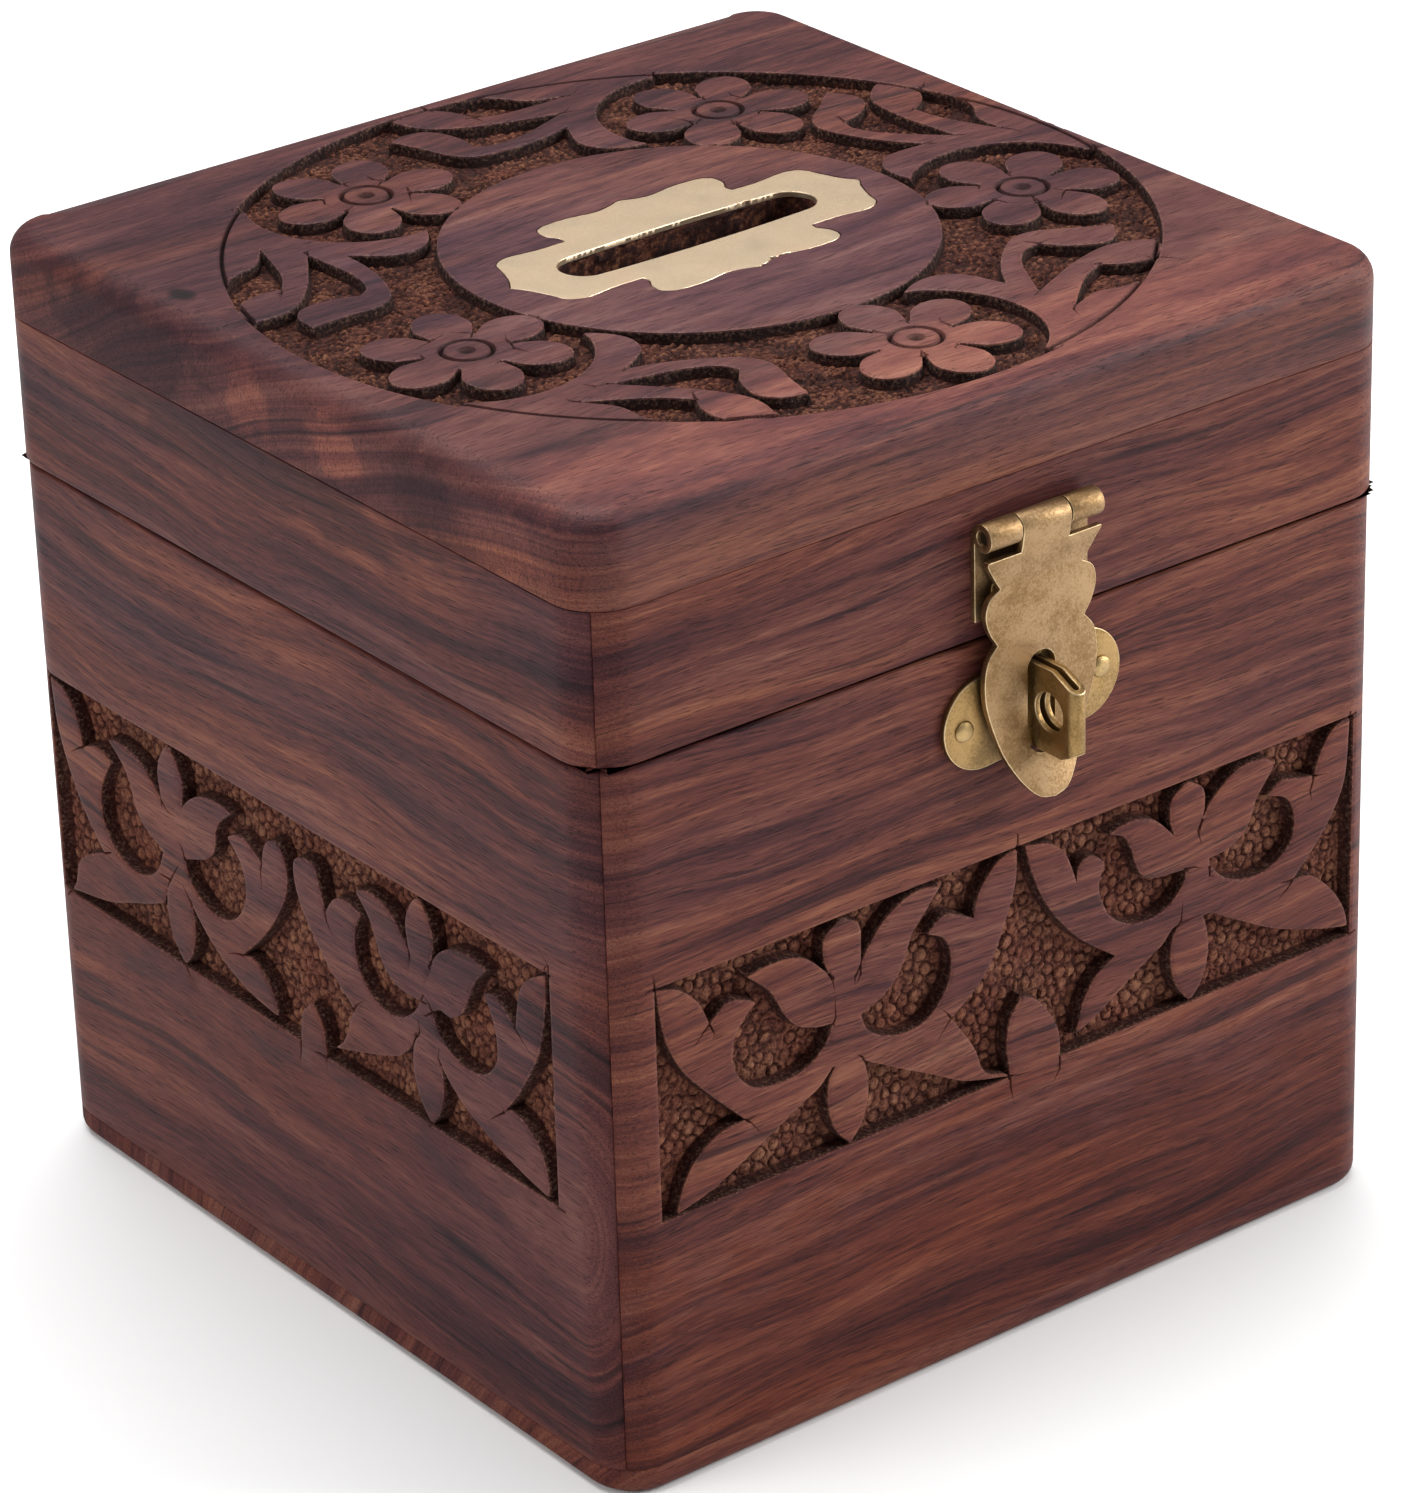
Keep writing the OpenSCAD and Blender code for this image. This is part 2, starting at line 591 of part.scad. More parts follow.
// Folded sheet: two ears on the face and a hollow eye that stands out between them
module staple() {
    eye_side = [[0, -4.4], [eye_out - 2, -4.4], [eye_out, -3.4],
                [eye_out, 3.1], [eye_out - 3.3, 4.6], [0, 4.6]];
    color(brass) difference() {
        on_side(0) translate([staple_x, staple_z, 0]) union() {
            difference() {
                rotate(ear_tilt) linear_extrude(sheet_t) {
                    for (s = [-1, 1]) translate([s * ear_x, 0]) circle(ear_r);
                    square([2 * ear_x, 2 * ear_r], center = true);
                }
                translate([-eye_w / 2 + sheet_t, -2 * ear_r, -cut])
                    cube([eye_w - 2 * sheet_t, 4 * ear_r, sheet_t + 2 * cut]);
            }
            intersection() {
                rotate([0, -90, 0]) translate([0, 0, -eye_w]) linear_extrude(2 * eye_w)
                    polygon(eye_side);
                rotate([90, 0, 0]) translate([0, 0, -2 * ear_r]) linear_extrude(4 * ear_r)
                    eye_fold(eye_out);
            }
        }
        on_side(0) translate([staple_x - eye_w, staple_z + 0.1, padlock_out]) rotate([0, 90, 0])
            cylinder(r = padlock_r, h = 2 * eye_w);
        at_ear_nails() nail_hole(sheet_t);
    }
}

// U-shaped section of the folded eye, seen from above, reaching out to depth
module eye_fold(depth) {
    r = eye_w / 2;
    difference() {
        union() {
            translate([-r, 0]) square([eye_w, depth - r]);
            translate([0, depth - r]) circle(r);
        }
        translate([-r + sheet_t, -cut]) square([eye_w - 2 * sheet_t, depth - r + cut]);
        translate([0, depth - r]) circle(r - sheet_t);
    }
}

module staple_nails() {
    color(bright_brass) at_ear_nails() nail(sheet_t);
}

module hasp_leaf() {
    half = hasp_w / 2;
    leaf_h = 9.2;
    color(brass) difference() {
        union() {
            difference() {
                translate([hasp_x - half, -body_d / 2 - sheet_t, hasp_z - leaf_h])
                    cube([hasp_w, sheet_t, leaf_h]);
                translate([hasp_x - tongue_w / 2 - side_gap, -body_d / 2 - 2 * cut, hasp_z - 2])
                    cube([tongue_w + 2 * side_gap, 3 * cut, 3]);
            }
            at_hasp_pin() {
                knuckle(knuckle_r, -half, -tongue_w / 2 - side_gap);
                knuckle(knuckle_r, tongue_w / 2 + side_gap, half);
            }
        }
        at_hasp_pin() knuckle(hasp_pin_r, -half - cut, half + cut);
        at_leaf_nails() nail_hole(sheet_t);
    }
}

module hasp_leaf_nails() {
    color(brass) at_leaf_nails() nail(sheet_t, leaf_nail_h);
}

module hasp_pin() {
    color(brass) at_hasp_pin() knuckle(hasp_pin_r, -hasp_w / 2 + 0.4, hasp_w / 2 - 0.4);
}

// Front outline of the strap, in x from its middle line and z
module strap_outline() {
    tongue = tongue_w / 2;
    both_sides(concat(
        curve([[0, 62.2], [1.7, 62.6], [3.15, 64], [4.6, 66.5], [5.9, 69.8], [6.9, 73], [7.1, 75.6],
               [6.7, 77.8], [5.5, 79.3]], 3),
        curve([[5.5, 79.3], [6.5, 80.9], [6.95, 82.7], [6.5, 84.3], [5.2, 85.2]], 3),
        curve([[5.2, 85.2], [6.2, 86.7], [7.1, 88.2]], 3),
        [[7.1, 88.2], [7.1, 88.6], [tongue, 88.6], [tongue, hasp_z]]
    ));
}

// Side section of the strap as [distance from the face, z]; it leans in, then kicks out at the tip
strap_front = [[3.2, 90.9], [2.95, 89.4], [2.5, 87.6], [2.2, 85.4], [2.1, 83], [2.05, 69.5],
               [2.25, 67.4], [2.8, 65.4], [3.5, 63.6], [4.2, 62]];

module hasp_strap() {
    back = [for (i = [len(strap_front) - 1 : -1 : 0]) strap_front[i] - [sheet_t + 0.1, 0]];
    color(brass) difference() {
        union() {
            intersection() {
                translate([hasp_x - hasp_w, -body_d / 2, 0]) rotate([90, 0, 90])
                    linear_extrude(2 * hasp_w) polygon([for (p = concat(strap_front, back))
                        [-p.x, p.y]]);
                translate([hasp_x, -body_d / 2 + cut, 0]) rotate([90, 0, 0])
                    linear_extrude(8) difference() {
                        strap_outline();
                        translate([0, (strap_slot_z[0] + strap_slot_z[1]) / 2]) rotate(90)
                            stadium(strap_slot_z[1] - strap_slot_z[0], strap_slot_w);
                    }
            }
            at_hasp_pin() knuckle(knuckle_r, -tongue_w / 2, tongue_w / 2);
        }
        at_hasp_pin() knuckle(hasp_pin_r + run_gap, -tongue_w, tongue_w);
    }
}

// ---- Back hinges --------------------------------------------------------------------------

// One leaf on the back face; up is 1 for the lid leaf and -1 for the base leaf. The base leaf
// has the two outer knuckles and grips the pin, and the lid leaf turns on it.
module hinge_leaf(side, up) {
    third = hinge_w / 6;
    own = up > 0 ? [[-third, third]] : [[-hinge_w / 2, -third], [third, hinge_w / 2]];
    bore = hinge_pin_r + (up > 0 ? run_gap : 0);
    color(brass) difference() {
        union() {
            translate([side * hinge_x - hinge_w / 2, body_d / 2,
                       seam_z + (up > 0 ? hinge_clear : -hinge_clear - hinge_leaf_h)])
                cube([hinge_w, hinge_t, hinge_leaf_h]);
            for (k = own) {
                translate([side * hinge_x + k[0] + side_gap, body_d / 2,
                           seam_z + (up > 0 ? 0 : -hinge_clear)])
                    cube([k[1] - k[0] - 2 * side_gap, hinge_t, hinge_clear]);
                at_hinge_pin(side) knuckle(hinge_r, k[0] + side_gap, k[1] - side_gap);
            }
        }
        at_hinge_pin(side) knuckle(bore, -hinge_w, hinge_w);
        at_hinge_nails(side, seam_z + up * hinge_nail_z) nail_hole(hinge_t);
    }
}

module hinge_pin(side) {
    color(brass) at_hinge_pin(side) knuckle(hinge_pin_r, -hinge_w / 2, hinge_w / 2);
}

module hinge_nails(up) {
    color(bright_brass) for (s = [-1, 1]) at_hinge_nails(s, seam_z + up * hinge_nail_z)
        nail(hinge_t);
}

base_front_board();
base_back_board();
base_left_board();
base_right_board();
bottom_board();
staple();
staple_nails();
hinge_leaf(-1, -1);  // left_hinge_base_leaf
hinge_leaf(1, -1);  // right_hinge_base_leaf
hinge_nails(-1);  // hinge_base_nails
hinge_pin(-1);  // left_hinge_pin
hinge_pin(1);  // right_hinge_pin
lid_top_board();
lid_front_rail();
lid_back_rail();
lid_left_rail();
lid_right_rail();
slot_plate();
hasp_leaf();
hasp_leaf_nails();
hasp_pin();
hinge_leaf(-1, 1);  // left_hinge_lid_leaf
hinge_leaf(1, 1);  // right_hinge_lid_leaf
hinge_nails(1);  // hinge_lid_nails
hasp_strap();
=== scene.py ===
"""Looks of the carved wooden donation box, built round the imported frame."""

import math

import bmesh
import bpy
import numpy as np
from mathutils import Matrix, Vector
from mathutils.geometry import delaunay_2d_cdt


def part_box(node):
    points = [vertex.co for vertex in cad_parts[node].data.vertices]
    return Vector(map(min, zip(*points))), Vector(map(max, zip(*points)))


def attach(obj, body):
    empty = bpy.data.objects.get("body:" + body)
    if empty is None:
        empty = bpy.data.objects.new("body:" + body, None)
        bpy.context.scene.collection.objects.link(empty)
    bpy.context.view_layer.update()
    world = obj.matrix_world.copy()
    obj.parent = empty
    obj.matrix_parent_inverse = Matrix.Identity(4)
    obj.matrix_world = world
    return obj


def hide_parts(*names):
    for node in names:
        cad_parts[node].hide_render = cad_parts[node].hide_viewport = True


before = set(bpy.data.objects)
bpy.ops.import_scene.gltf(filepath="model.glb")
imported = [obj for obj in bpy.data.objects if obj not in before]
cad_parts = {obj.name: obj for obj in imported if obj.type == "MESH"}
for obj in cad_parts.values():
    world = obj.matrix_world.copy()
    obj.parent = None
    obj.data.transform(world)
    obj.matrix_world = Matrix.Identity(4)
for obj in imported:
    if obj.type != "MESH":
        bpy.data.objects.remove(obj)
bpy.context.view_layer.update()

MM = 0.001

# Angles in degrees above which an edge, or the turn of an outline, is sharp
SHARP = 38
WORN_SHARP = 32
CORNER_TURN = 42
NICK_TURN = 50

# The box's build, in millimetres
CORNER_R = 5.5
WALL = 8.0
TOP_ROUND = 3.0
BOTTOM_ROUND = 1.5
SEAM_ROUND = 0.45
JOINT_ROUND = 0.12
MITRE_ROUND = 0.2
BAND_DEPTH = 1.7
RING_DEPTH = 1.3
RING_C = np.array((0.6, -0.4))
RING_R = 46.8
FLOWER_ANGLES = (-90, -20, 47.4, 120.3, 195.3)
FLOWER_AT = 35.6
EYE_R = 2.55
PIT_R = 0.9
PIT_DEEP = 0.6
RECESS_EASE = 0.06

# Half width and depth of the cut lines round the ring and round the flowers' eyes
RING_LINE = (0.25, 0.7)
EYE_LINE = (0.32, 0.7)

# Carving: rounded edges, leaning walls, and lines of points beside the outlines
EDGE_ROUND = 0.5
EDGE_DROP = 0.10
WALL_LEAN = 0.16
LEAF_LINES = (0.5, 0.25)
POCKET_LINES = (-0.03, -WALL_LEAN, -0.34)
SIDE_STEP, SIDE_GROUND_GAP = 0.28, 0.165
TOP_STEP, TOP_GROUND_GAP = 0.34, 0.25
TOP_START = 1.0

# Knife nicks
NICK_LONG = (0.5, 1.7)
NICK_HALF = 0.14
NICK_SIDE = 0.13
NICK_DEEP = 0.5

# Marks of the ring punch, each a low dome in a thin groove
PUNCH_TRIES = 16000
PUNCH_APART = (1.0, 1.5)
DOME_R = (0.62, 0.86)
DOME_HIGH = 0.15
GROOVE_HALF = 0.10
GROOVE_DEEP = 0.28

# Gouge strokes, each with a raised lip
GOUGE_TRIES = 26000
STROKE_LONG = (0.45, 1.05)
STROKE_WIDE = (0.13, 0.26)
STROKE_DEEP = 0.12
STROKE_LIP = 0.085

# Rosewood from its darkest streaks to its lightest
ROSEWOOD = (
    (0.30, (0.021, 0.0056, 0.0066)),
    (0.41, (0.058, 0.0145, 0.0140)),
    (0.51, (0.117, 0.0320, 0.0225)),
    (0.61, (0.186, 0.0630, 0.0370)),
    (0.74, (0.290, 0.1240, 0.0720)),
)

# Sunk ground from its pits to its crests, on the sides and on the top; the dark end is painted
# shade, laid in the pits and at the feet of the walls
PUNCHED = (
    (0.05, (0.026, 0.0085, 0.0065)),
    (0.30, (0.060, 0.0190, 0.0135)),
    (0.55, (0.135, 0.0500, 0.0310)),
    (0.95, (0.250, 0.1130, 0.0640)),
)
CHISELLED = (
    (0.05, (0.011, 0.0030, 0.0026)),
    (0.42, (0.030, 0.0072, 0.0045)),
    (0.68, (0.076, 0.0225, 0.0130)),
    (0.95, (0.185, 0.0760, 0.0390)),
)

# Tints that the wood's colour is multiplied by, and the pale colour of its worn edges, partly a
# painted highlight
COOL = (0.66, 0.76, 1.15, 1)
VEIN = (0.27, 0.27, 0.40, 1)
PORE = (0.30, 0.25, 0.25, 1)
END_DOT = (0.38, 0.30, 0.34, 1)
RED_EARTH = (0.80, 0.60, 0.62, 1)
WORN_AND_HIGHLIT_EDGE = (0.36, 0.20, 0.14, 1)

# Tinted patches: middle and half widths in millimetres, tint and strength. Most are stains; on the
# top, one is a painted reflection over the middle and one a painted highlight along the front edge,
# and the front's and the left side's make them darker towards the bottom
SLATE = (0.44, 0.42, 0.54)
EMBER = (2.2, 2.1, 1.6)
# Darker and redder towards the bottom of the front
FRONT_DARKER_LOW = (((0, -50, 4), (90, 12, 26), (0.86, 0.62, 0.48), 0.9),)
# Darker towards the bottom of the left side
LEFT_DARKER_LOW = (((-50, 0, 6), (12, 70, 30), (0.80, 0.68, 0.74), 0.85),)
RAIL_STAINS = (((-52, 2, 93), (8, 34, 4.2), SLATE, 0.85),)
TOP_STAINS_AND_PAINTED_LIGHT = (
    ((-51, -11, 100), (5, 5.5, 4), EMBER, 0.8),
    ((-51, 4, 100), (5, 4, 4), EMBER, 0.6),
    ((-51, -38, 99), (5, 7, 4), (1.6, 1.7, 1.5), 0.7),
    ((-51, 26, 100), (6, 16, 6), SLATE, 0.8),
    ((-51, -25, 100), (5, 6, 5), SLATE, 0.7),
    ((-46.5, 20.5, 104), (1.6, 2.2, 3), (0.12, 0.12, 0.14), 0.95),
    ((-38, 20, 105), (14, 34, 9), (0.66, 0.64, 0.80), 0.75),
    # Painted reflection: a pale, cool haze over the middle of the top
    ((0, 0, 105), (34, 34, 9), (1.15, 1.4, 1.55), 0.9),
    # Painted highlight: a pale warm strip along the top's front edge
    ((0, -44, 105), (70, 11, 3.4), (1.75, 1.7, 1.4), 0.95),
)


# ---- Camera, floor and light ----


def new_object(name, data):
    made = bpy.data.objects.new(name, data)
    bpy.context.scene.collection.objects.link(made)
    return made


def add_camera():
    """Looks down on the front left corner with a long lens."""
    data = bpy.data.cameras.new("camera")
    data.lens = 150.276
    data.sensor_width = 36
    data.shift_x = -0.00084
    data.shift_y = -0.0038
    data.clip_end = 20
    camera = new_object("camera", data)
    azimuth, elevation, roll = (math.radians(a) for a in (-37.072, 26.237, -1.771))
    turn = Matrix.Rotation(azimuth, 4, "Z") @ Matrix.Rotation(math.pi / 2 - elevation, 4, "X")
    place = Matrix.Translation((-0.350714, -0.464863, 0.335505))
    camera.matrix_world = place @ turn @ Matrix.Rotation(roll, 4, "Z")
    bpy.context.scene.camera = camera


def add_area(name, place, target, size, watts):
    """A white rectangular light that faces target."""
    data = bpy.data.lights.new(name, "AREA")
    data.shape = "RECTANGLE"
    data.size, data.size_y = size
    data.energy = watts
    light = new_object(name, data)
    light.location = place
    light.rotation_euler = (Vector(target) - Vector(place)).to_track_quat("-Z", "Y").to_euler()


def add_studio():
    """Pale floor, soft boxes to the right and the left, and a soft light above."""
    mesh = bpy.data.meshes.new("floor")
    half = 4.0
    corners = [(-half, -half, 0), (half, -half, 0), (half, half, 0), (-half, half, 0)]
    mesh.from_pydata(corners, [], [(0, 1, 2, 3)])
    floor = new_object("floor", mesh)
    g = Graph("floor_paper")
    g.finish(base=(0.93, 0.93, 0.93, 1), roughness=0.9)
    mesh.materials.append(g.material)

    world = bpy.data.worlds.new("studio")
    world.use_nodes = True
    background = world.node_tree.nodes["Background"]
    background.inputs["Color"].default_value = (1, 1, 1, 1)
    background.inputs["Strength"].default_value = 0.25
    bpy.context.scene.world = world
    middle = (0, 0, 0.05)
    add_area("right", (0.95, -0.62, 0.55), middle, (0.6, 0.7), 14.5)
    add_area("left", (-1.05, 0.25, 0.6), middle, (0.6, 0.7), 5.2)
    add_area("above", (0.05, 0.25, 1.1), middle, (1.0, 1.0), 15.5)
    bpy.context.scene.view_settings.view_transform = "Standard"


# ---- Materials ----


class Graph:
    """One material's nodes, and short ways to add them."""

    def __init__(self, name):
        self.material = bpy.data.materials.new(name)
        self.material.use_nodes = True
        self.tree = self.material.node_tree
        self.tree.nodes.clear()

    def node(self, kind, inputs=(), out=0, **settings):
        n = self.tree.nodes.new("ShaderNode" + kind)
        for key, value in settings.items():
            setattr(n, key, value)
        for key, value in dict(inputs).items():
            if isinstance(value, bpy.types.NodeSocket):
                self.tree.links.new(value, n.inputs[key])
            else:
                n.inputs[key].default_value = value
        return n.outputs[out] if n.outputs else None

    def math(self, operation, a, b=0.0, clamp=False):
        return self.node("Math", {0: a, 1: b}, operation=operation, use_clamp=clamp)

    def plus(self, a, b):
        return self.math("ADD", a, b)

    def minus(self, a, b):
        return self.math("SUBTRACT", a, b)

    def times(self, a, b):
        return self.math("MULTIPLY", a, b)

    def vector(self, operation, a, b):
        return self.node("VectorMath", {0: a, 1: b}, operation=operation)

    def mix(self, factor, a, b, blend="MIX"):
        """Mixes two colours, which may be sockets or plain colours."""
        kinds = {"data_type": "RGBA", "blend_type": blend, "clamp_factor": True}
        return self.node("Mix", {0: factor, 6: a, 7: b}, out=2, **kinds)

    def noise(self, vector, scale, detail=2.0, rough=0.5):
        values = {"Vector": vector, "Scale": scale, "Detail": detail, "Roughness": rough}
        return self.node("TexNoise", values)

    def millimetres(self):
        """Each place of the piece, in millimetres."""
        return self.vector("MULTIPLY", self.node("TexCoord", out=3), (1000, 1000, 1000))

    def steps(self, value, low, high):
        """0 below low, 1 above high and smooth between them."""
        values = {"Value": value, "From Min": low, "From Max": high}
        return self.node("MapRange", values, interpolation_type="SMOOTHSTEP")

    def ramp(self, value, stops):
        n = self.tree.nodes.new("ShaderNodeValToRGB")
        self.tree.links.new(value, n.inputs[0])
        while len(n.color_ramp.elements) < len(stops):
            n.color_ramp.elements.new(1)
        for element, (at, colour) in zip(n.color_ramp.elements, stops):
            element.position = at
            element.color = (*colour, 1)
        return n.outputs[0]

    def finish(self, base, roughness, metallic=0.0, specular=0.5, height=None, depth=MM):
        """Ends the graph in a Principled shader, with a bump where height is given."""
        values = {"Base Color": base, "Roughness": roughness, "Metallic": metallic}
        values["Specular IOR Level"] = specular
        if height is not None:
            values["Normal"] = self.node("Bump", {"Height": height, "Distance": depth})
        shader = self.node("BsdfPrincipled", values)
        self.node("OutputMaterial", {"Surface": shader})
        return self.material


class Timber(Graph):
    """Nodes of one board's wood. axes are the directions along the grain, through the board and
    across it; pith is how far the middle of the tree lies from the board, in the last two of
    them, in mm."""

    def __init__(self, name, axes, pith, seed):
        super().__init__(name)
        self.place = self.millimetres()
        parts = self.node("SeparateXYZ", {0: self.place}).node
        along, through, across = (parts.outputs[a] for a in axes)
        along = self.plus(along, 300.0 * seed)
        self.plain = self.node("CombineXYZ", {0: along, 1: through, 2: across})
        wave = self.drawn(self.plain, (0.012, 0.03, 0.03), 2.0)
        bend = self.times(self.minus(wave, 0.5), 16.0)
        y = self.plus(through, pith[0])
        z = self.plus(self.plus(across, bend), pith[1])
        squares = self.plus(self.times(y, y), self.times(z, z))
        radius = self.math("SQRT", squares)
        flat_y = self.times(y, 0.2)
        self.rings = self.node("CombineXYZ", {0: along, 1: flat_y, 2: radius})
        bent = self.plus(across, self.times(bend, 0.6))
        self.thread = self.node("CombineXYZ", {0: along, 1: through, 2: bent})
        facing = self.node("SeparateXYZ", {0: self.node("TexCoord", out=1)}).node
        self.end = self.steps(self.math("ABSOLUTE", facing.outputs[axes[0]]), 0.55, 0.9)

    def drawn(self, source, scale, detail, rough=0.5):
        """Noise over a source of places, with a scale for each of its directions."""
        return self.noise(self.vector("MULTIPLY", source, scale), 1.0, detail, rough)

    def streaks(self, length, width, detail, rough=0.55):
        """Noise drawn out along the growth rings, by a length and a width in millimetres."""
        scale = (1 / length, 1 / (6 * width), 1 / width)
        return self.drawn(self.rings, scale, detail, rough)

    def fibres(self, length, width, detail, rough):
        """Noise drawn out along the grain only."""
        return self.drawn(self.thread, (1 / length, 1 / width, 1 / width), detail, rough)

    def tint(self, colour, amount, strength, tint):
        """Multiplies a colour by a tint, as far as amount and strength say."""
        return self.mix(self.times(amount, strength), colour, tint, "MULTIPLY")


def grain_value(g, fine, fibre, tone):
    """How light the wood is at each place, from broad figure down to single fibres."""
    value = g.times(g.streaks(110, 6.5, 2.0), 0.27)
    middle = g.streaks(38, 1.7, 4.0, 0.62)
    for part, share in ((middle, 0.29), (fine, 0.24), (fibre, 0.20)):
        value = g.plus(value, g.times(part, share))
    contrast = 1.4
    return g.plus(g.times(g.minus(value, 0.5), contrast), 0.5 + tone)


def with_patches(g, colour, patches):
    """Lays patches with cloudy edges over a colour: stains, and painted light where a patch stands
    for it.
    """
    cloud = g.drawn(g.plain, (0.12, 0.3, 0.3), 4.0, 0.6)
    for centre, half, tint, strength in patches:
        gap = g.vector("SUBTRACT", g.place, centre)
        far = g.node("VectorMath", {0: g.vector("DIVIDE", gap, half)}, out=1, operation="LENGTH")
        far = g.plus(far, g.times(g.minus(cloud, 0.5), 1.6))
        amount = g.minus(1.0, g.steps(far, 0.55, 1.1))
        colour = g.tint(colour, amount, strength, (*tint, 1))
    return colour


def carved_look(g, colour, rough, height, grounds):
    """Earthy, gritty sunk ground, darkened with painted shade in its pits, at the feet of its
    walls, in cut lines and in nicks, and pale worn edges that are partly a painted highlight, where
    the marks say.
    """
    marks = g.node("SeparateColor", {0: g.node("Attribute", attribute_name="carving_and_painted_light")}).node
    # Marks: how much is carved; how light the ground is, painted shade dark in its pits and at its
    # walls; worn edges, partly a painted highlight
    cut, light, worn = (marks.outputs[k] for k in range(3))
    speck = g.noise(g.place, 2.6, 4.0, 0.7)
    grit = g.times(g.minus(speck, 0.5), 1.8)
    grit = g.times(grit, g.steps(light, 0.0, 0.3))
    ground = g.ramp(g.plus(light, grit), grounds)
    earth = g.steps(g.noise(g.place, 0.16, 2.0), 0.42, 0.62)
    ground = g.tint(ground, earth, 0.6, RED_EARTH)
    colour = g.mix(cut, colour, ground)
    worn = g.times(worn, g.steps(speck, 0.45, 0.75))
    # Pale worn edges, partly a painted highlight along every carved outline
    colour = g.mix(g.times(worn, 0.5), colour, WORN_AND_HIGHLIT_EDGE)
    rough = g.math("ADD", rough, g.times(cut, 0.3), clamp=True)
    height = g.plus(height, g.times(speck, cut))
    return colour, rough, height


def wood(name, axes, pith, seed, tone=0.0, warmth=0.5, grounds=None, sheen=0.12, patches=()):
    """Oiled rosewood; grounds are the colours of its sunk ground, where it is carved, with painted
    shade at their dark end.
    """
    g = Timber(name, axes, pith, seed)
    fine = g.streaks(16, 0.5, 3.0, 0.65)
    fibre = g.fibres(3.0, 0.15, 2.0, 0.7)
    pores = g.steps(g.fibres(2.6, 0.13, 1.0, 0.5), 0.63, 0.74)
    colour = g.ramp(grain_value(g, fine, fibre, tone), ROSEWOOD)
    colour = g.tint(colour, g.steps(g.streaks(70, 12, 1.0), 0.40, 0.62), 1.0 - warmth, COOL)
    colour = g.tint(colour, g.steps(g.streaks(42, 1.2, 3.0), 0.60, 0.71), 0.85, VEIN)
    colour = with_patches(g, g.tint(colour, pores, 0.7, PORE), patches)
    height = g.minus(g.times(fibre, 0.45), g.times(pores, 0.6))

    dots = g.drawn(g.plain, (1.0, 1.5, 4.0), 3.0, 0.7)
    dots = g.times(g.steps(dots, 0.50, 0.66), 0.65)
    colour = g.mix(g.times(dots, g.end), colour, END_DOT, "MULTIPLY")
    rough = g.plus(g.times(fine, 0.16), 0.44)
    rough = g.plus(rough, g.times(g.end, 0.25))
    if grounds:
        colour, rough, height = carved_look(g, colour, rough, height, grounds)
    return g.finish(colour, rough, specular=sheen, height=height, depth=0.12 * MM)


def brass(name, colour, stain, rough, spots=0.5, grain=0.05):
    """Brass sheet with cloudy tarnish, fine specks and a light grain."""
    g = Graph(name)
    place = g.millimetres()
    cloud = g.noise(place, 0.22, 3.0, 0.6)
    speck = g.noise(place, 3.6, 3.0, 0.75)
    mixed = g.plus(g.times(cloud, 0.5), g.times(speck, 0.5))
    amount = g.times(g.steps(mixed, 0.40, 0.62), spots)
    base = g.mix(amount, (*colour, 1), (*stain, 1))
    roughness = g.plus(g.times(mixed, 0.3), rough - 0.12)
    return g.finish(base, roughness, metallic=1.0, height=speck, depth=grain * MM)


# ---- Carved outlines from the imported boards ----


def clip01(values):
    """Values kept between 0 and 1."""
    return np.clip(values, 0, 1)


def lengths(vectors):
    return np.linalg.norm(vectors, axis=1)


def to_front(points, side):
    """Turns points on side 0 front, 1 right, 2 back or 3 left to where the front is."""
    c, s = round(math.cos(side * math.pi / 2)), round(-math.sin(side * math.pi / 2))
    turn = np.array(((c, -s, 0), (s, c, 0), (0, 0, 1)))
    return points @ turn.T


def cad_corners(node):
    """The low and the high corner of a CAD node's box, in millimetres."""
    return np.array(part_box(node)) / MM


def cad_mesh(node):
    """A CAD node's points in millimetres, and its triangles."""
    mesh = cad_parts[node].data
    mesh.calc_loop_triangles()
    points = np.empty(len(mesh.vertices) * 3)
    mesh.vertices.foreach_get("co", points)
    tris = np.empty(len(mesh.loop_triangles) * 3, np.int32)
    mesh.loop_triangles.foreach_get("vertices", tris)
    return points.reshape(-1, 3) / MM, tris.reshape(-1, 3)


def flat_outlines(plan, tris, flat):
    """Closed outlines of the triangles whose corners are all flat, in the plane of plan, with
    that region on their left."""
    _, weld = np.unique(np.round(plan, 3), axis=0, return_inverse=True)
    weld = weld.reshape(-1)
    middle = {int(w): plan[i] for i, w in enumerate(weld)}
    following = {}
    edges = set()
    for t in tris[flat[tris].all(axis=1)]:
        a, b, c = plan[t]
        area = (b[0] - a[0]) * (c[1] - a[1]) - (b[1] - a[1]) * (c[0] - a[0])
        corners = [int(w) for w in weld[t]]
        if area < 0:
            corners.reverse()
        edges.update(zip(corners, corners[1:] + corners[:1]))
    for a, b in sorted(edges):
        if a != b and (b, a) not in edges:
            following.setdefault(a, []).append(b)
    loops = []
    while following:
        first = min(following)
        loop, here = [], first
        while here in following:
            loop.append(middle[here])
            ahead = following[here].pop()
            if not following[here]:
                del following[here]
            here = ahead
        loops.append(np.array(loop))
    return loops


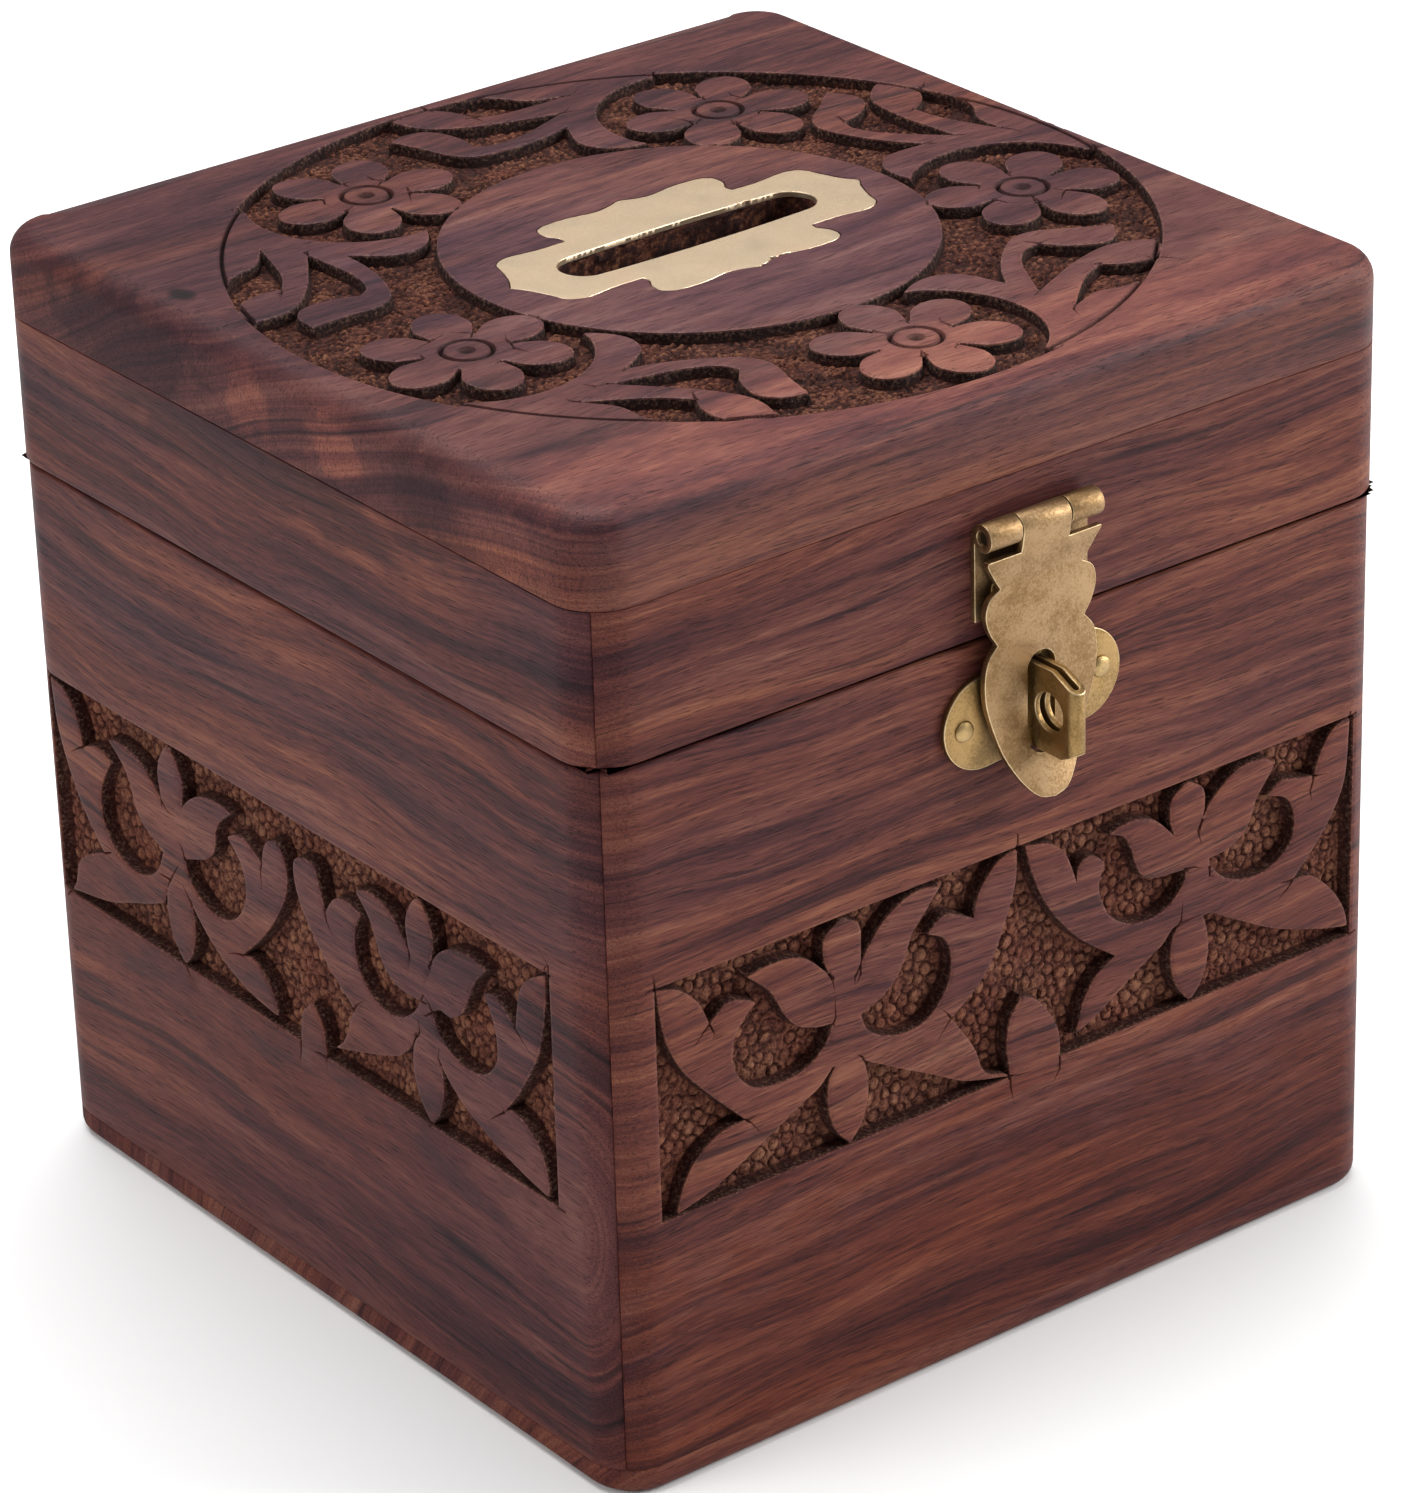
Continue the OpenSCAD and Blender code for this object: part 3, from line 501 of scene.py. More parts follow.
def smooth_outline(loop, step):
    """Runs a smooth curve through an outline's points, keeps its corners and straight
    stretches, and returns points about step apart."""
    keep = lengths(loop - np.roll(loop, 1, axis=0)) > 0.03
    p = loop[keep]
    ahead = np.roll(p, -1, axis=0) - p
    gap = lengths(ahead)
    unit = ahead / gap[:, None]
    before, gap_before = np.roll(unit, 1, axis=0), np.roll(gap, 1)
    corner = (unit * before).sum(axis=1) < math.cos(math.radians(CORNER_TURN))
    tangent = (before * gap[:, None] + unit * gap_before[:, None]) / (gap + gap_before)[:, None]
    start = np.where(corner[:, None], unit, tangent)
    end = np.roll(np.where(corner[:, None], before, tangent), -1, axis=0)
    points = []
    for i in range(len(p)):
        n = max(1, round(gap[i] / step))
        t = (np.arange(n) / n)[:, None]
        a, b = p[i], p[(i + 1) % len(p)]
        m0, m1 = start[i] * gap[i], end[i] * gap[i]
        bump = (2 * t**3 - 3 * t**2 + 1) * a + (3 * t**2 - 2 * t**3) * b
        points.append(bump + (t**3 - 2 * t**2 + t) * m0 + (t**3 - t**2) * m1)
    return np.concatenate(points)


def inside(points, loops):
    """Whether each point lies in an odd number of the loops."""
    odd = np.zeros(len(points), bool)
    for loop in loops:
        after = np.roll(loop, -1, axis=0)
        for a, b in zip(loop, after):
            crossed = (a[1] > points[:, 1]) != (b[1] > points[:, 1])
            if crossed.any():
                at = a[0] + (points[crossed, 1] - a[1]) * (b[0] - a[0]) / (b[1] - a[1])
                odd[np.flatnonzero(crossed)[points[crossed, 0] < at]] ^= True
    return odd


def between(grid, x, y, x1, y1, f):
    """Values of a grid between columns x and x1 and rows y and y1, by the shares f."""
    low = grid[y, x] * (1 - f[..., 0]) + grid[y, x1] * f[..., 0]
    high = grid[y1, x] * (1 - f[..., 0]) + grid[y1, x1] * f[..., 0]
    return low * (1 - f[..., 1]) + high * f[..., 1]


class Field:
    """Values on a fine grid over a carved face: how far each place is from the nearest
    outline, positive on uncut wood, and how the sunk ground's floor rises and falls."""

    CELL = 0.1
    REACH = 1.4

    def __init__(self, loops):
        every = np.concatenate(loops)
        self.low = every.min(axis=0) - 2 * self.REACH
        high = every.max(axis=0) + 2 * self.REACH
        size = np.ceil((high - self.low) / self.CELL).astype(int) + 1
        self.u = self.low[0] + self.CELL * np.arange(size[0])
        self.v = self.low[1] + self.CELL * np.arange(size[1])
        gap = np.full((size[1], size[0]), self.REACH)
        crossings = np.zeros_like(gap, dtype=np.int32)
        for loop in loops:
            for a, b in zip(loop, np.roll(loop, -1, axis=0)):
                self._near(gap, a, b)
                self._cross(crossings, a, b)
        self.sunk = np.cumsum(crossings, axis=1) % 2 == 1
        self.gap = np.where(self.sunk, -gap, gap)
        self.floor = np.zeros_like(self.gap)

    def window(self, low, high):
        """The part of the grid between two corners, as two slices."""
        i = np.clip(np.floor((np.array(low) - self.low) / self.CELL).astype(int), 0, None)
        j = np.ceil((np.array(high) - self.low) / self.CELL).astype(int) + 1
        return slice(i[1], j[1]), slice(i[0], j[0])

    def offsets(self, part, place):
        """How far the columns and the rows of a part of the grid are from a place."""
        return self.u[part[1]][None, :] - place[0], self.v[part[0]][:, None] - place[1]

    def _near(self, gap, a, b):
        part = self.window(np.minimum(a, b) - self.REACH, np.maximum(a, b) + self.REACH)
        du, dv = self.offsets(part, a)
        d = b - a
        t = clip01((du * d[0] + dv * d[1]) / max(d @ d, 1e-12))
        np.minimum(gap[part], np.hypot(du - t * d[0], dv - t * d[1]), out=gap[part])

    def _cross(self, crossings, a, b):
        low, high = (a, b) if a[1] < b[1] else (b, a)
        rows = np.arange(*np.ceil((np.array((low[1], high[1])) - self.low[1]) / self.CELL)
                         .astype(int))
        if len(rows):
            share = (self.v[rows] - low[1]) / (high[1] - low[1])
            at = low[0] + share * (high[0] - low[0])
            columns = np.ceil((at - self.low[0]) / self.CELL).astype(int)
            np.add.at(crossings, (rows, columns), 1)

    def at(self, points, values):
        """Values of one of the grids at points, by straight lines between its cells."""
        q = (points - self.low) / self.CELL
        top = np.array(values.shape[::-1]) - 1.001
        q = np.clip(q, 0, top)
        i = q.astype(int)
        f = q - i
        x, y = i[:, 0], i[:, 1]
        return between(values, x, y, x + 1, y + 1, f)

    def scatter(self, count, margin, rng):
        """Random places on the sunk ground, more than margin from its outlines."""
        tries = rng.uniform(self.low, (self.u[-1], self.v[-1]), (count, 2))
        return tries[self.at(tries, self.gap) < -margin]

    def around(self, centre, reach):
        """The part of the grid within reach of a centre, and its places from that centre."""
        part = self.window(centre - reach, centre + reach)
        return part, *self.offsets(part, centre)

    def wobble(self, scale, rng):
        """Smooth random values over the grid."""
        grid = np.stack(np.meshgrid(self.u, self.v), axis=-1)
        return wobble(grid, scale, int(rng.integers(1 << 30)))

    def punch(self, rng):
        """Stamps the floor with a ring punch, which leaves low domes in thin ring grooves."""
        centres = np.empty((0, 2))
        for c in self.scatter(PUNCH_TRIES, 0.2, rng):
            apart = rng.uniform(*PUNCH_APART)
            if not len(centres) or ((centres - c) ** 2).sum(axis=1).min() > apart**2:
                centres = np.vstack((centres, c))
        self.floor += 0.14 * self.wobble(1.6, rng) + 0.07 * self.wobble(0.45, rng)
        for c in rng.permutation(centres):
            part, du, dv = self.around(c, 1.3)
            tilt = rng.normal(0, 0.10, 2)
            r = np.hypot(du * rng.uniform(0.92, 1.08), dv)
            dome_r = rng.uniform(*DOME_R)
            dome = DOME_HIGH * np.sqrt(clip01(1 - (r / dome_r) ** 2))
            dome = dome + du * tilt[0] + dv * tilt[1]
            dome += rng.normal(0, 0.05)
            groove = np.exp(-(((r - dome_r) / GROOVE_HALF) ** 2)) * rng.uniform(0.5, 1.0)
            old = self.floor[part]
            blend = clip01((dome_r - r) / 0.15)
            new = old * (1 - blend) + (0.45 * old + dome - 0.07) * blend
            self.floor[part] = new * (1 - groove) + (-GROOVE_DEEP + 0.2 * old) * groove

    def chisel(self, rng):
        """Roughens the floor with short gouge strokes that tear the fibres."""
        places = self.scatter(GOUGE_TRIES, 0.1, rng)
        self.floor += 0.10 * self.wobble(2.2, rng)
        for c in places:
            part, du, dv = self.around(c, 1.1)
            if rng.random() < 0.6:
                angle = rng.uniform(0, math.pi)
            else:
                angle = rng.normal(0, 0.35)
            long, wide = rng.uniform(*STROKE_LONG), rng.uniform(*STROKE_WIDE)
            a = du * math.cos(angle) + dv * math.sin(angle)
            b = dv * math.cos(angle) - du * math.sin(angle) + 0.25 * a * a * rng.normal()
            fade = clip01(1 - (a / long) ** 2)
            groove = fade * np.exp(-((b / wide) ** 2))
            lip = fade * np.exp(-(((np.abs(b) - 1.7 * wide) / (0.6 * wide)) ** 2))
            self.floor[part] += STROKE_LIP * lip * rng.uniform(0.3, 1.6) - STROKE_DEEP * groove
        self.floor = 0.38 * np.tanh((self.floor - self.floor[self.sunk].mean()) / 0.26)


def wobble(points, scale, seed, cells=97):
    """Smooth random values from -1 to 1 that change over about scale mm."""
    lattice = np.random.default_rng(seed).uniform(-1, 1, (cells, cells))
    q = points / scale
    i = np.floor(q).astype(int)
    f = q - i
    f = f * f * (3 - 2 * f)
    x, y = i[..., 0] % cells, i[..., 1] % cells
    return between(lattice, x, y, (x + 1) % cells, (y + 1) % cells, f)


# ---- Sheets of triangles ----


class Sheet:
    """Points in a plane, gathered by role and then joined by triangles."""

    def __init__(self):
        self.points = []
        self.edges = []

    def add(self, points, closed=False):
        """Adds points and returns their numbers; closed ones are joined into a loop."""
        first = len(self.points)
        self.points.extend((float(p[0]), float(p[1])) for p in points)
        numbers = list(range(first, len(self.points)))
        if closed:
            self.edges.extend(zip(numbers, numbers[1:] + numbers[:1]))
        return numbers

    def triangles(self, keep=None):
        """Returns the points, the triangles, counter-clockwise, and where each point went."""
        found = delaunay_2d_cdt([Vector(p) for p in self.points], self.edges, [], 0, 1e-6)
        points = np.array([tuple(p) for p in found[0]])
        tris = np.array(found[2])
        went = np.zeros(len(self.points), int)
        for new, olds in enumerate(found[3]):
            for old in olds:
                went[old] = new
        a, b, c = (points[tris[:, k]] for k in range(3))
        area = (b[:, 0] - a[:, 0]) * (c[:, 1] - a[:, 1]) - (b[:, 1] - a[:, 1]) * (c[:, 0] - a[:, 0])
        tris[area < 0] = tris[area < 0][:, ::-1]
        good = np.abs(area) > 1e-7
        if keep is not None:
            good &= keep((a + b + c) / 3)
        return points, tris[good], went


def soft(distance, radius):
    """How far a rounded edge has dropped at a distance in from the edge."""
    short = np.clip(radius - distance, 0, radius)
    return radius - np.sqrt(radius**2 - short**2)


def offset_points(loop, shift):
    """Points beside an outline, shift to its right."""
    along = np.roll(loop, -1, axis=0) - np.roll(loop, 1, axis=0)
    along /= np.maximum(lengths(along), 1e-9)[:, None]
    return loop + shift * np.stack((along[:, 1], -along[:, 0]), axis=1)


def hex_points(low, high, gap, rng, shake=0.16):
    """Points of a slightly shaken grid of even triangles between two corners."""
    rows = np.arange(low[1], high[1], gap * 0.866)
    columns = np.arange(low[0], high[0], gap)
    x = columns[None, :] + (np.arange(len(rows)) % 2)[:, None] * gap / 2
    y = np.broadcast_to(rows[:, None], x.shape)
    grid = np.stack((x, y), axis=-1).reshape(-1, 2)
    return grid + rng.uniform(-shake * gap, shake * gap, grid.shape)


def carve(sheet, loops, field, gap, rng):
    """Adds the points that a carved face needs: its outlines, lines beside them, and the
    points of the sunk ground, gap apart."""
    for loop in loops:
        sheet.add(loop, closed=True)
        for shift in LEAF_LINES + POCKET_LINES:
            line = offset_points(loop, shift)
            true = np.abs(field.at(line, field.gap) - shift) < 0.045
            sheet.add(line[true])
    every = np.concatenate(loops)
    ground = hex_points(every.min(axis=0), every.max(axis=0), gap, rng)
    sheet.add(ground[field.at(ground, field.gap) < POCKET_LINES[-1] - 0.3 * gap])


def knife_nicks(loops, rng, share=0.55):
    """Short cuts where the knife ran on past a corner: pairs of ends, in the outlines' plane."""
    nicks = []
    for loop in loops:
        step = np.roll(loop, -1, axis=0) - loop
        unit = step / np.maximum(lengths(step), 1e-9)[:, None]
        before = np.roll(unit, 1, axis=0)
        turns = (unit * before).sum(axis=1) < math.cos(math.radians(NICK_TURN))
        for i in np.flatnonzero(turns):
            for way in (before[i], -unit[i]):
                if rng.random() < share:
                    nicks.append((loop[i], loop[i] + way * rng.uniform(*NICK_LONG)))
    return nicks


def add_nicks(sheet, nicks, field):
    """Adds the points along and beside each nick."""
    for a, b in nicks:
        length = np.linalg.norm(b - a)
        t = np.arange(0.12, length, 0.25)[:, None] / length
        side = np.array((a[1] - b[1], b[0] - a[0])) / length
        for shift in (-NICK_SIDE, 0, NICK_SIDE):
            line = a + t * (b - a) + shift * side
            sheet.add(line[field.at(line, field.gap) > 0.12])


def cut_nicks(points, height, marks, nicks):
    """Cuts the nicks into a face's heights and darkens them with painted shade."""
    for a, b in nicks:
        d = b - a
        t = clip01((points - a) @ d / (d @ d))
        away = lengths(points - a - t[:, None] * d)
        near = clip01(1 - away / NICK_HALF) * np.sqrt(clip01(1.05 - t))
        height = np.minimum(height, np.where(near > 0, -NICK_DEEP * near, 0))
        marks[:, 0] = np.maximum(marks[:, 0], near)
    return height


def relief(points, field, depth):
    """Height of a carved face at points, and its marks: how much it is carved, how light its ground
    is, which is painted shade that darkens the pits and the feet of the walls, and how much its
    edge is worn, which is partly a painted highlight."""
    s = field.at(points, field.gap)
    floor = field.at(points, field.floor)
    crest = -EDGE_DROP * clip01(1 - s / EDGE_ROUND) ** 2
    lower = clip01(-s / WALL_LEAN)
    ground = -depth + floor * clip01((-s - 0.10) / 0.30)
    height = np.where(s >= 0, crest, -EDGE_DROP + (ground + EDGE_DROP) * lower)
    cut = clip01(-s / 0.03)
    # Painted shade: darker in the ground's pits, darkest at the feet of the walls and in cuts on
    # the uncut wood
    light = clip01(0.54 + floor / 0.75) * clip01((-s - 0.05) / 0.2)
    # Worn edge: pale wear, and partly a painted highlight, on the uncut side of each outline
    worn = clip01(1 - s / 0.22) * (s > -0.04)
    return height, np.stack((cut, light, worn), axis=1)


def make_piece(node, stuff, points, faces, body, material, marks=None):
    """A mesh object from points in millimetres, which rides on a body in place of a CAD node."""
    name = f"{node}_{stuff}"
    mesh = bpy.data.meshes.new(name)
    mesh.from_pydata([tuple(p) for p in np.asarray(points) * MM], [], faces)
    if marks is not None:
        layer = mesh.color_attributes.new("carving_and_painted_light", "FLOAT_COLOR", "POINT")
        rgba = np.zeros((len(mesh.vertices), 4), np.float32)
        rgba[: len(marks), :3] = marks
        rgba[:, 3] = 1
        layer.data.foreach_set("color", rgba.reshape(-1))
    mesh.polygons.foreach_set("use_smooth", np.ones(len(mesh.polygons), bool))
    mesh.set_sharp_from_angle(angle=math.radians(SHARP))
    mesh.materials.append(material)
    piece = new_object(name, mesh)
    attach(piece, body)
    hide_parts(node)


# ---- Wooden boards ----


def spread(low, high, gap):
    """Evenly spaced values from low to high, about gap apart, ends included."""
    return np.linspace(low, high, max(2, round((high - low) / gap) + 1))


def side_grid(reach, flat, z0, z1, edges):
    """Points of an uncarved side, finer on its corners and near its edges, and which of them
    are on its rim."""
    near = np.array((0, 0.25, 0.6, 1))
    columns = np.concatenate((
        -reach + MITRE_ROUND * near,
        spread(-reach + 0.5, -flat, 0.5),
        spread(-flat + 2, flat - 2, 2.5),
        spread(flat, reach - 0.5, 0.5),
        reach - MITRE_ROUND * near[::-1],
    ))
    middle_rows = spread(z0 + 1.5, z1 - 1.5, 2.5)
    rows = np.concatenate((z0 + edges[0] * near, middle_rows, z1 - edges[1] * near[::-1]))
    grid = np.stack(np.meshgrid(columns, rows), axis=-1).reshape(-1, 2)
    rim = (np.abs(grid[:, 0]) == reach) | (grid[:, 1] == z0) | (grid[:, 1] == z1)
    return grid, rim


def carve_band(sheet, node, side, out, flat, rng):
    """Adds the points of a side's carved band, and returns its field and its knife nicks."""
    plan, tris = cad_mesh(node)
    plan = to_front(plan, side)
    sunk = np.abs(plan[:, 1] + out - BAND_DEPTH) < 0.01
    loops = flat_outlines(plan[:, [0, 2]], tris, sunk)
    loops = [smooth_outline(unroll(loop, flat), SIDE_STEP) for loop in loops]
    field = Field(loops)
    field.punch(rng)
    carve(sheet, loops, field, SIDE_GROUND_GAP, rng)
    nicks = knife_nicks(loops, rng)
    add_nicks(sheet, nicks, field)
    return field, nicks


def bend_round(points, height, out, flat):
    """Bends a side's unrolled face round its corners."""
    s, z = points[:, 0], points[:, 1]
    turn = np.clip(np.abs(s) - flat, 0, None) / CORNER_R
    x = np.sign(s) * (np.minimum(np.abs(s), flat) + (CORNER_R + height) * np.sin(turn))
    y = -(out - CORNER_R) - (CORNER_R + height) * np.cos(turn)
    y = np.where(height < -0.5, -out - height, y)
    return np.stack((x, y, z), axis=1)


def board_faces(points, reach, z0, z1):
    """Faces of a side board behind its front: two mitred ends, two edges and the back, whose
    four points follow the front's."""
    s, z = points[:, 0], points[:, 1]
    b = range(len(points), len(points) + 4)

    def row(gap, along):
        """Numbers of the front's points on one of its edges, in order."""
        on = np.flatnonzero(np.abs(gap) < 1e-3)
        return on[np.argsort(along[on])].tolist()

    return [
        row(z - z0, s)[::-1] + [b[0], b[1]],
        row(z - z1, s) + [b[3], b[2]],
        row(s + reach, z) + [b[2], b[0]],
        row(s - reach, z)[::-1] + [b[1], b[3]],
        [b[1], b[0], b[2], b[3]],
    ]


def side_board(node, body, side, material, edges, carving_seed=None):
    """A mitred side board, carved if it has a seed for that. edges are the radii that its
    bottom and top edges are softened to."""
    carved = carving_seed is not None
    corners = to_front(cad_corners(node), side)
    low, high = corners.min(axis=0), corners.max(axis=0)
    out, z0, z1 = -low[1], low[2], high[2]
    flat = high[0] - CORNER_R * math.sin(math.pi / 4)
    reach = flat + CORNER_R * math.pi / 4

    sheet = Sheet()
    grid, rim = side_grid(reach, flat, z0, z1, edges)
    if carved:
        rng = np.random.default_rng(carving_seed)
        field, nicks = carve_band(sheet, node, side, out, flat, rng)
        grid = grid[rim | (field.at(grid, field.gap) > 0.9)]
    sheet.add(grid)
    points, tris, _ = sheet.triangles()
    height = np.zeros(len(points))
    marks = np.zeros((len(points), 3))
    if carved:
        height, marks = relief(points, field, BAND_DEPTH)
        height = cut_nicks(points, height, marks, nicks)
    s, z = points[:, 0], points[:, 1]
    height = height - soft(reach - np.abs(s), MITRE_ROUND) * 0.6
    height -= soft(z - z0, edges[0]) + soft(z1 - z, edges[1])

    front = bend_round(points, height, out, flat)
    inner = flat + CORNER_R - WALL
    back = [(sx * inner, -out + WALL, level) for level in (z0, z1) for sx in (-1, 1)]
    world = to_front(np.concatenate((front, back)), (4 - side) % 4)
    faces = tris.tolist() + board_faces(points, reach, z0, z1)
    make_piece(node, "wood", world, faces, body, material, marks)


def unroll(loop, flat):
    """Lays an outline's places past the flat of a side out along the rounded corner."""
    over = np.clip((np.abs(loop[:, 0]) - flat) / CORNER_R, 0, 0.95)
    far = flat + CORNER_R * np.arcsin(over)
    u = np.where(over > 0, np.sign(loop[:, 0]) * far, loop[:, 0])
    return np.stack((u, loop[:, 1]), axis=1)


def rounded_loop(half, inset):
    """Outline of a board with rounded corners, drawn in by inset, counter-clockwise."""
    gap, turns = 2.5, 10
    width, length = half - CORNER_R
    radius = CORNER_R - inset
    angles = [math.pi / 2 * k / turns for k in range(turns + 1)]
    quarter = [(width + radius * math.cos(a), length + radius * math.sin(a)) for a in angles]
    top = [(x, half[1] - inset) for x in spread(width, -width, gap)[1:-1]]
    right = [(half[0] - inset, y) for y in spread(-length, length, gap)[1:-1]]
    upper = quarter + top + [(-x, y) for x, y in quarter[::-1]]
    lower = [(-x, -y) for x, y in right]
    below = [(-x, -y) for x, y in quarter] + [(-x, -y) for x, y in top]
    return np.array(upper + lower + below + [(x, -y) for x, y in quarter[::-1]] + right)


def add_ring(points, outline, z):
    """Adds an outline's points at one height and returns their numbers."""
    first = len(points)
    points += [(p[0], p[1], z) for p in outline]
    return list(range(first, len(points)))


def loft(rings):
    """Quads between rings of equal count, each ring a list of point numbers."""
    faces = []
    for a, b in zip(rings, rings[1:]):
        for i in range(len(a)):
            j = (i + 1) % len(a)
            faces.append([a[i], a[j], b[j], b[i]])
    return faces


def ring_face(outer, outer_ids, inner, inner_ids, up):
    """Triangles between an outer and an inner outline whose points already exist."""
    sheet = Sheet()
    ids = outer_ids + inner_ids
    sheet.add(outer, closed=True)
    sheet.add(inner, closed=True)
    loops = [np.array(outer), np.array(inner)]
    _, tris, went = sheet.triangles(lambda middles: inside(middles, loops))
    back = {int(new): ids[old] for old, new in enumerate(went)}
    order = 1 if up else -1
    return [[back[int(i)] for i in t][::order] for t in tris]


def bottom_board(material):
    """The thin bottom, with its lower edge rounded."""
    low, high = cad_corners("bottom_board")
    half = (high - low)[:2] / 2
    levels = [(0.12, high[2]), (0.03, high[2] - 0.08), (0.0, high[2] - 0.2)]
    for a in (math.pi / 2 * k / 8 for k in range(9)):
        levels.append((BOTTOM_ROUND * (1 - math.cos(a)), BOTTOM_ROUND * (1 - math.sin(a))))
    points = []
    rings = [add_ring(points, rounded_loop(half, inset), z) for inset, z in levels]
    faces = loft(rings[::-1]) + [rings[0], rings[-1][::-1]]
    make_piece("bottom_board", "wood", points, faces, "base", material)


def circle(centre, radius, gap):
    """Points round a circle, about gap apart."""
    n = max(12, round(2 * math.pi * radius / gap))
    a = 2 * math.pi * np.arange(n) / n
    return np.array(centre) + radius * np.stack((np.cos(a), np.sin(a)), axis=1)


def rect_gap(points, half):
    """How far points lie inside the top board's rounded outline."""
    q = np.abs(points) - (half - CORNER_R)
    outside = np.hypot(np.clip(q[:, 0], 0, None), np.clip(q[:, 1], 0, None))
    return CORNER_R - outside - np.minimum(q.max(axis=1), 0)


def top_lines():
    """The circles cut in the top, as centre, radius, half width and depth: one round the ring,
    then one round each flower's eye."""
    lines = [(RING_C, RING_R, *RING_LINE)]
    for angle in np.radians(FLOWER_ANGLES):
        centre = RING_C + FLOWER_AT * np.array((math.cos(angle), math.sin(angle)))
        lines.append((centre, EYE_R, *EYE_LINE))
    return lines


def top_points(sheet, field, lines, half, recess, rng):
    """Adds the points of the top's cut circles, pits, border and flats to its sheet."""
    for inset in (1.35, 1.8, 2.4, 3.1):
        ring = rounded_loop(half, inset)
        sheet.add(ring[field.at(ring, field.gap) > 0.6])
    for centre, *_ in lines[1:]:
        sheet.add([centre])
        for r in (0.25, 0.5, 0.7, PIT_R, 1.1):
            sheet.add(circle(centre, r, 0.3))
    for centre, r, half_w, _ in lines:
        for share in (-2, -1, 0, 1, 2):
            sheet.add(circle(centre, r + share * half_w, 0.34))
    flats = hex_points(-half, half, 2.2, rng, 0.1)
    calm = (field.at(flats, field.gap) > 0.8) & (rect_gap(flats, half) > 3.4)
    for centre, r, _, _ in lines:
        calm &= np.abs(lengths(flats - centre) - r) > 0.9
    calm &= ~inside(flats, [offset_points(recess, 0.5)])
    sheet.add(flats[calm])


def cut_lines(points, height, marks, lines):
    """Cuts the circles and the pits of the flowers' eyes into the top and darkens them with painted
    shade.
    """
    for centre, r, half_w, depth in lines:
        away = np.abs(lengths(points - centre) - r)
        height = np.minimum(height, -depth * clip01(1 - away / half_w))
        marks[:, 0] = np.maximum(marks[:, 0], clip01(1.3 - away / half_w))
    for centre, *_ in lines[1:]:
        away = lengths(points - centre)
        pit = clip01(1.3 * (1 - away / PIT_R)) ** 0.7
        height = np.minimum(height, -PIT_DEEP * pit)
        marks[:, 0] = np.maximum(marks[:, 0], clip01(1.4 - away / PIT_R))
    return height


def rim_levels(z0, z1):
    """Insets and heights of the rings from the top's rounded edge down to its underside."""
    first = math.acos((TOP_ROUND - TOP_START) / TOP_ROUND)
    angles = [first * (1 - k / 6) for k in range(1, 7)]
    levels = [(TOP_ROUND * (1 - math.cos(a)), z1 - TOP_ROUND + TOP_ROUND * math.sin(a))
              for a in angles]
    return levels + [(0.0, z0 + 0.25), (0.05, z0 + 0.08), (0.15, z0)]


def slot_walls(points, slot, recess_z, z0):
    """Adds the rough-sawn walls of the coin slot: returns their rings and the rings' marks."""
    rings, marks = [], []
    outward = offset_points(slot, 1) - slot
    for level in (recess_z, recess_z - 0.3, *np.arange(recess_z - 0.9, z0, -0.6), z0):
        places = np.arange(len(slot)) * 0.35 + 7 * level
        torn = wobble(np.column_stack((places, np.full(len(slot), level))), 0.7, 5)
        rings.append(add_ring(points, slot + 0.25 * torn[:, None] * outward, level))
        cut = np.full(len(slot), 0.0 if level == z0 else 1.0)
        shade = np.clip(0.5 + 0.5 * torn, 0.1, 1)
        marks.append(np.column_stack((cut, shade, 0 * shade)))
    return rings, marks


def top_board(material):
    """The lid's top board, with the ring of flowers, the recess for the plate and the slot."""
    node = "lid_top_board"
    rng = np.random.default_rng(17)
    low, high = cad_corners(node)
    half, z0, z1 = (high - low)[:2] / 2, low[2], high[2]
    plan, tris = cad_mesh(node)
    sunk = np.abs(plan[:, 2] - z1 + RING_DEPTH) < 0.01
    loops = [smooth_outline(loop, TOP_STEP) for loop in flat_outlines(plan[:, :2], tris, sunk)]
    field = Field(loops)
    field.chisel(rng)
    recess, slot = plate_outlines(TOP_STEP)
    recess = offset_points(recess, RECESS_EASE)
    slot = slot[::-1]
    lines = top_lines()

    sheet = Sheet()
    border = sheet.add(rounded_loop(half, TOP_START), closed=True)
    mouth = sheet.add(recess, closed=True)
    carve(sheet, loops, field, TOP_GROUND_GAP, rng)
    nicks = knife_nicks(loops, rng, 0.35)
    add_nicks(sheet, nicks, field)
    top_points(sheet, field, lines, half, recess, rng)

    def on_board(middles):
        within = rect_gap(middles, half) > TOP_START - 1e-4
        return within & ~inside(middles, [recess])

    top, faces, went = sheet.triangles(on_board)
    height, marks = relief(top, field, RING_DEPTH)
    height = cut_nicks(top, height, marks, nicks)
    height = cut_lines(top, height, marks, lines)
    z = z1 + height - soft(rect_gap(top, half), TOP_ROUND)
    points = [tuple(p) for p in np.column_stack((top, z))]
    faces = faces.tolist()

    rings = [[int(went[i]) for i in border]]
    for inset, level in rim_levels(z0, z1):
        rings.append(add_ring(points, rounded_loop(half, inset), level))
    faces += loft(rings[::-1])
    recess_z = cad_corners("slot_plate")[0, 2]
    down = add_ring(points, recess, recess_z)
    faces += loft([[int(went[i]) for i in mouth], down])
    plain = np.zeros((len(points) - len(marks), 3))
    slot_rings, slot_marks = slot_walls(points, slot, recess_z, z0)
    faces += loft(slot_rings)
    marks = np.concatenate((marks, plain, *slot_marks))

    plate = [points[i][:2] for i in slot_rings[0]]
    faces += ring_face(recess, down, plate, slot_rings[0], up=True)
    under = [points[i][:2] for i in slot_rings[-1]]
    rim = [points[i][:2] for i in rings[-1]]
    faces += ring_face(rim, rings[-1], under, slot_rings[-1], up=False)
    make_piece(node, "wood", points, faces, "lid", material, marks)


# ---- Brass ----


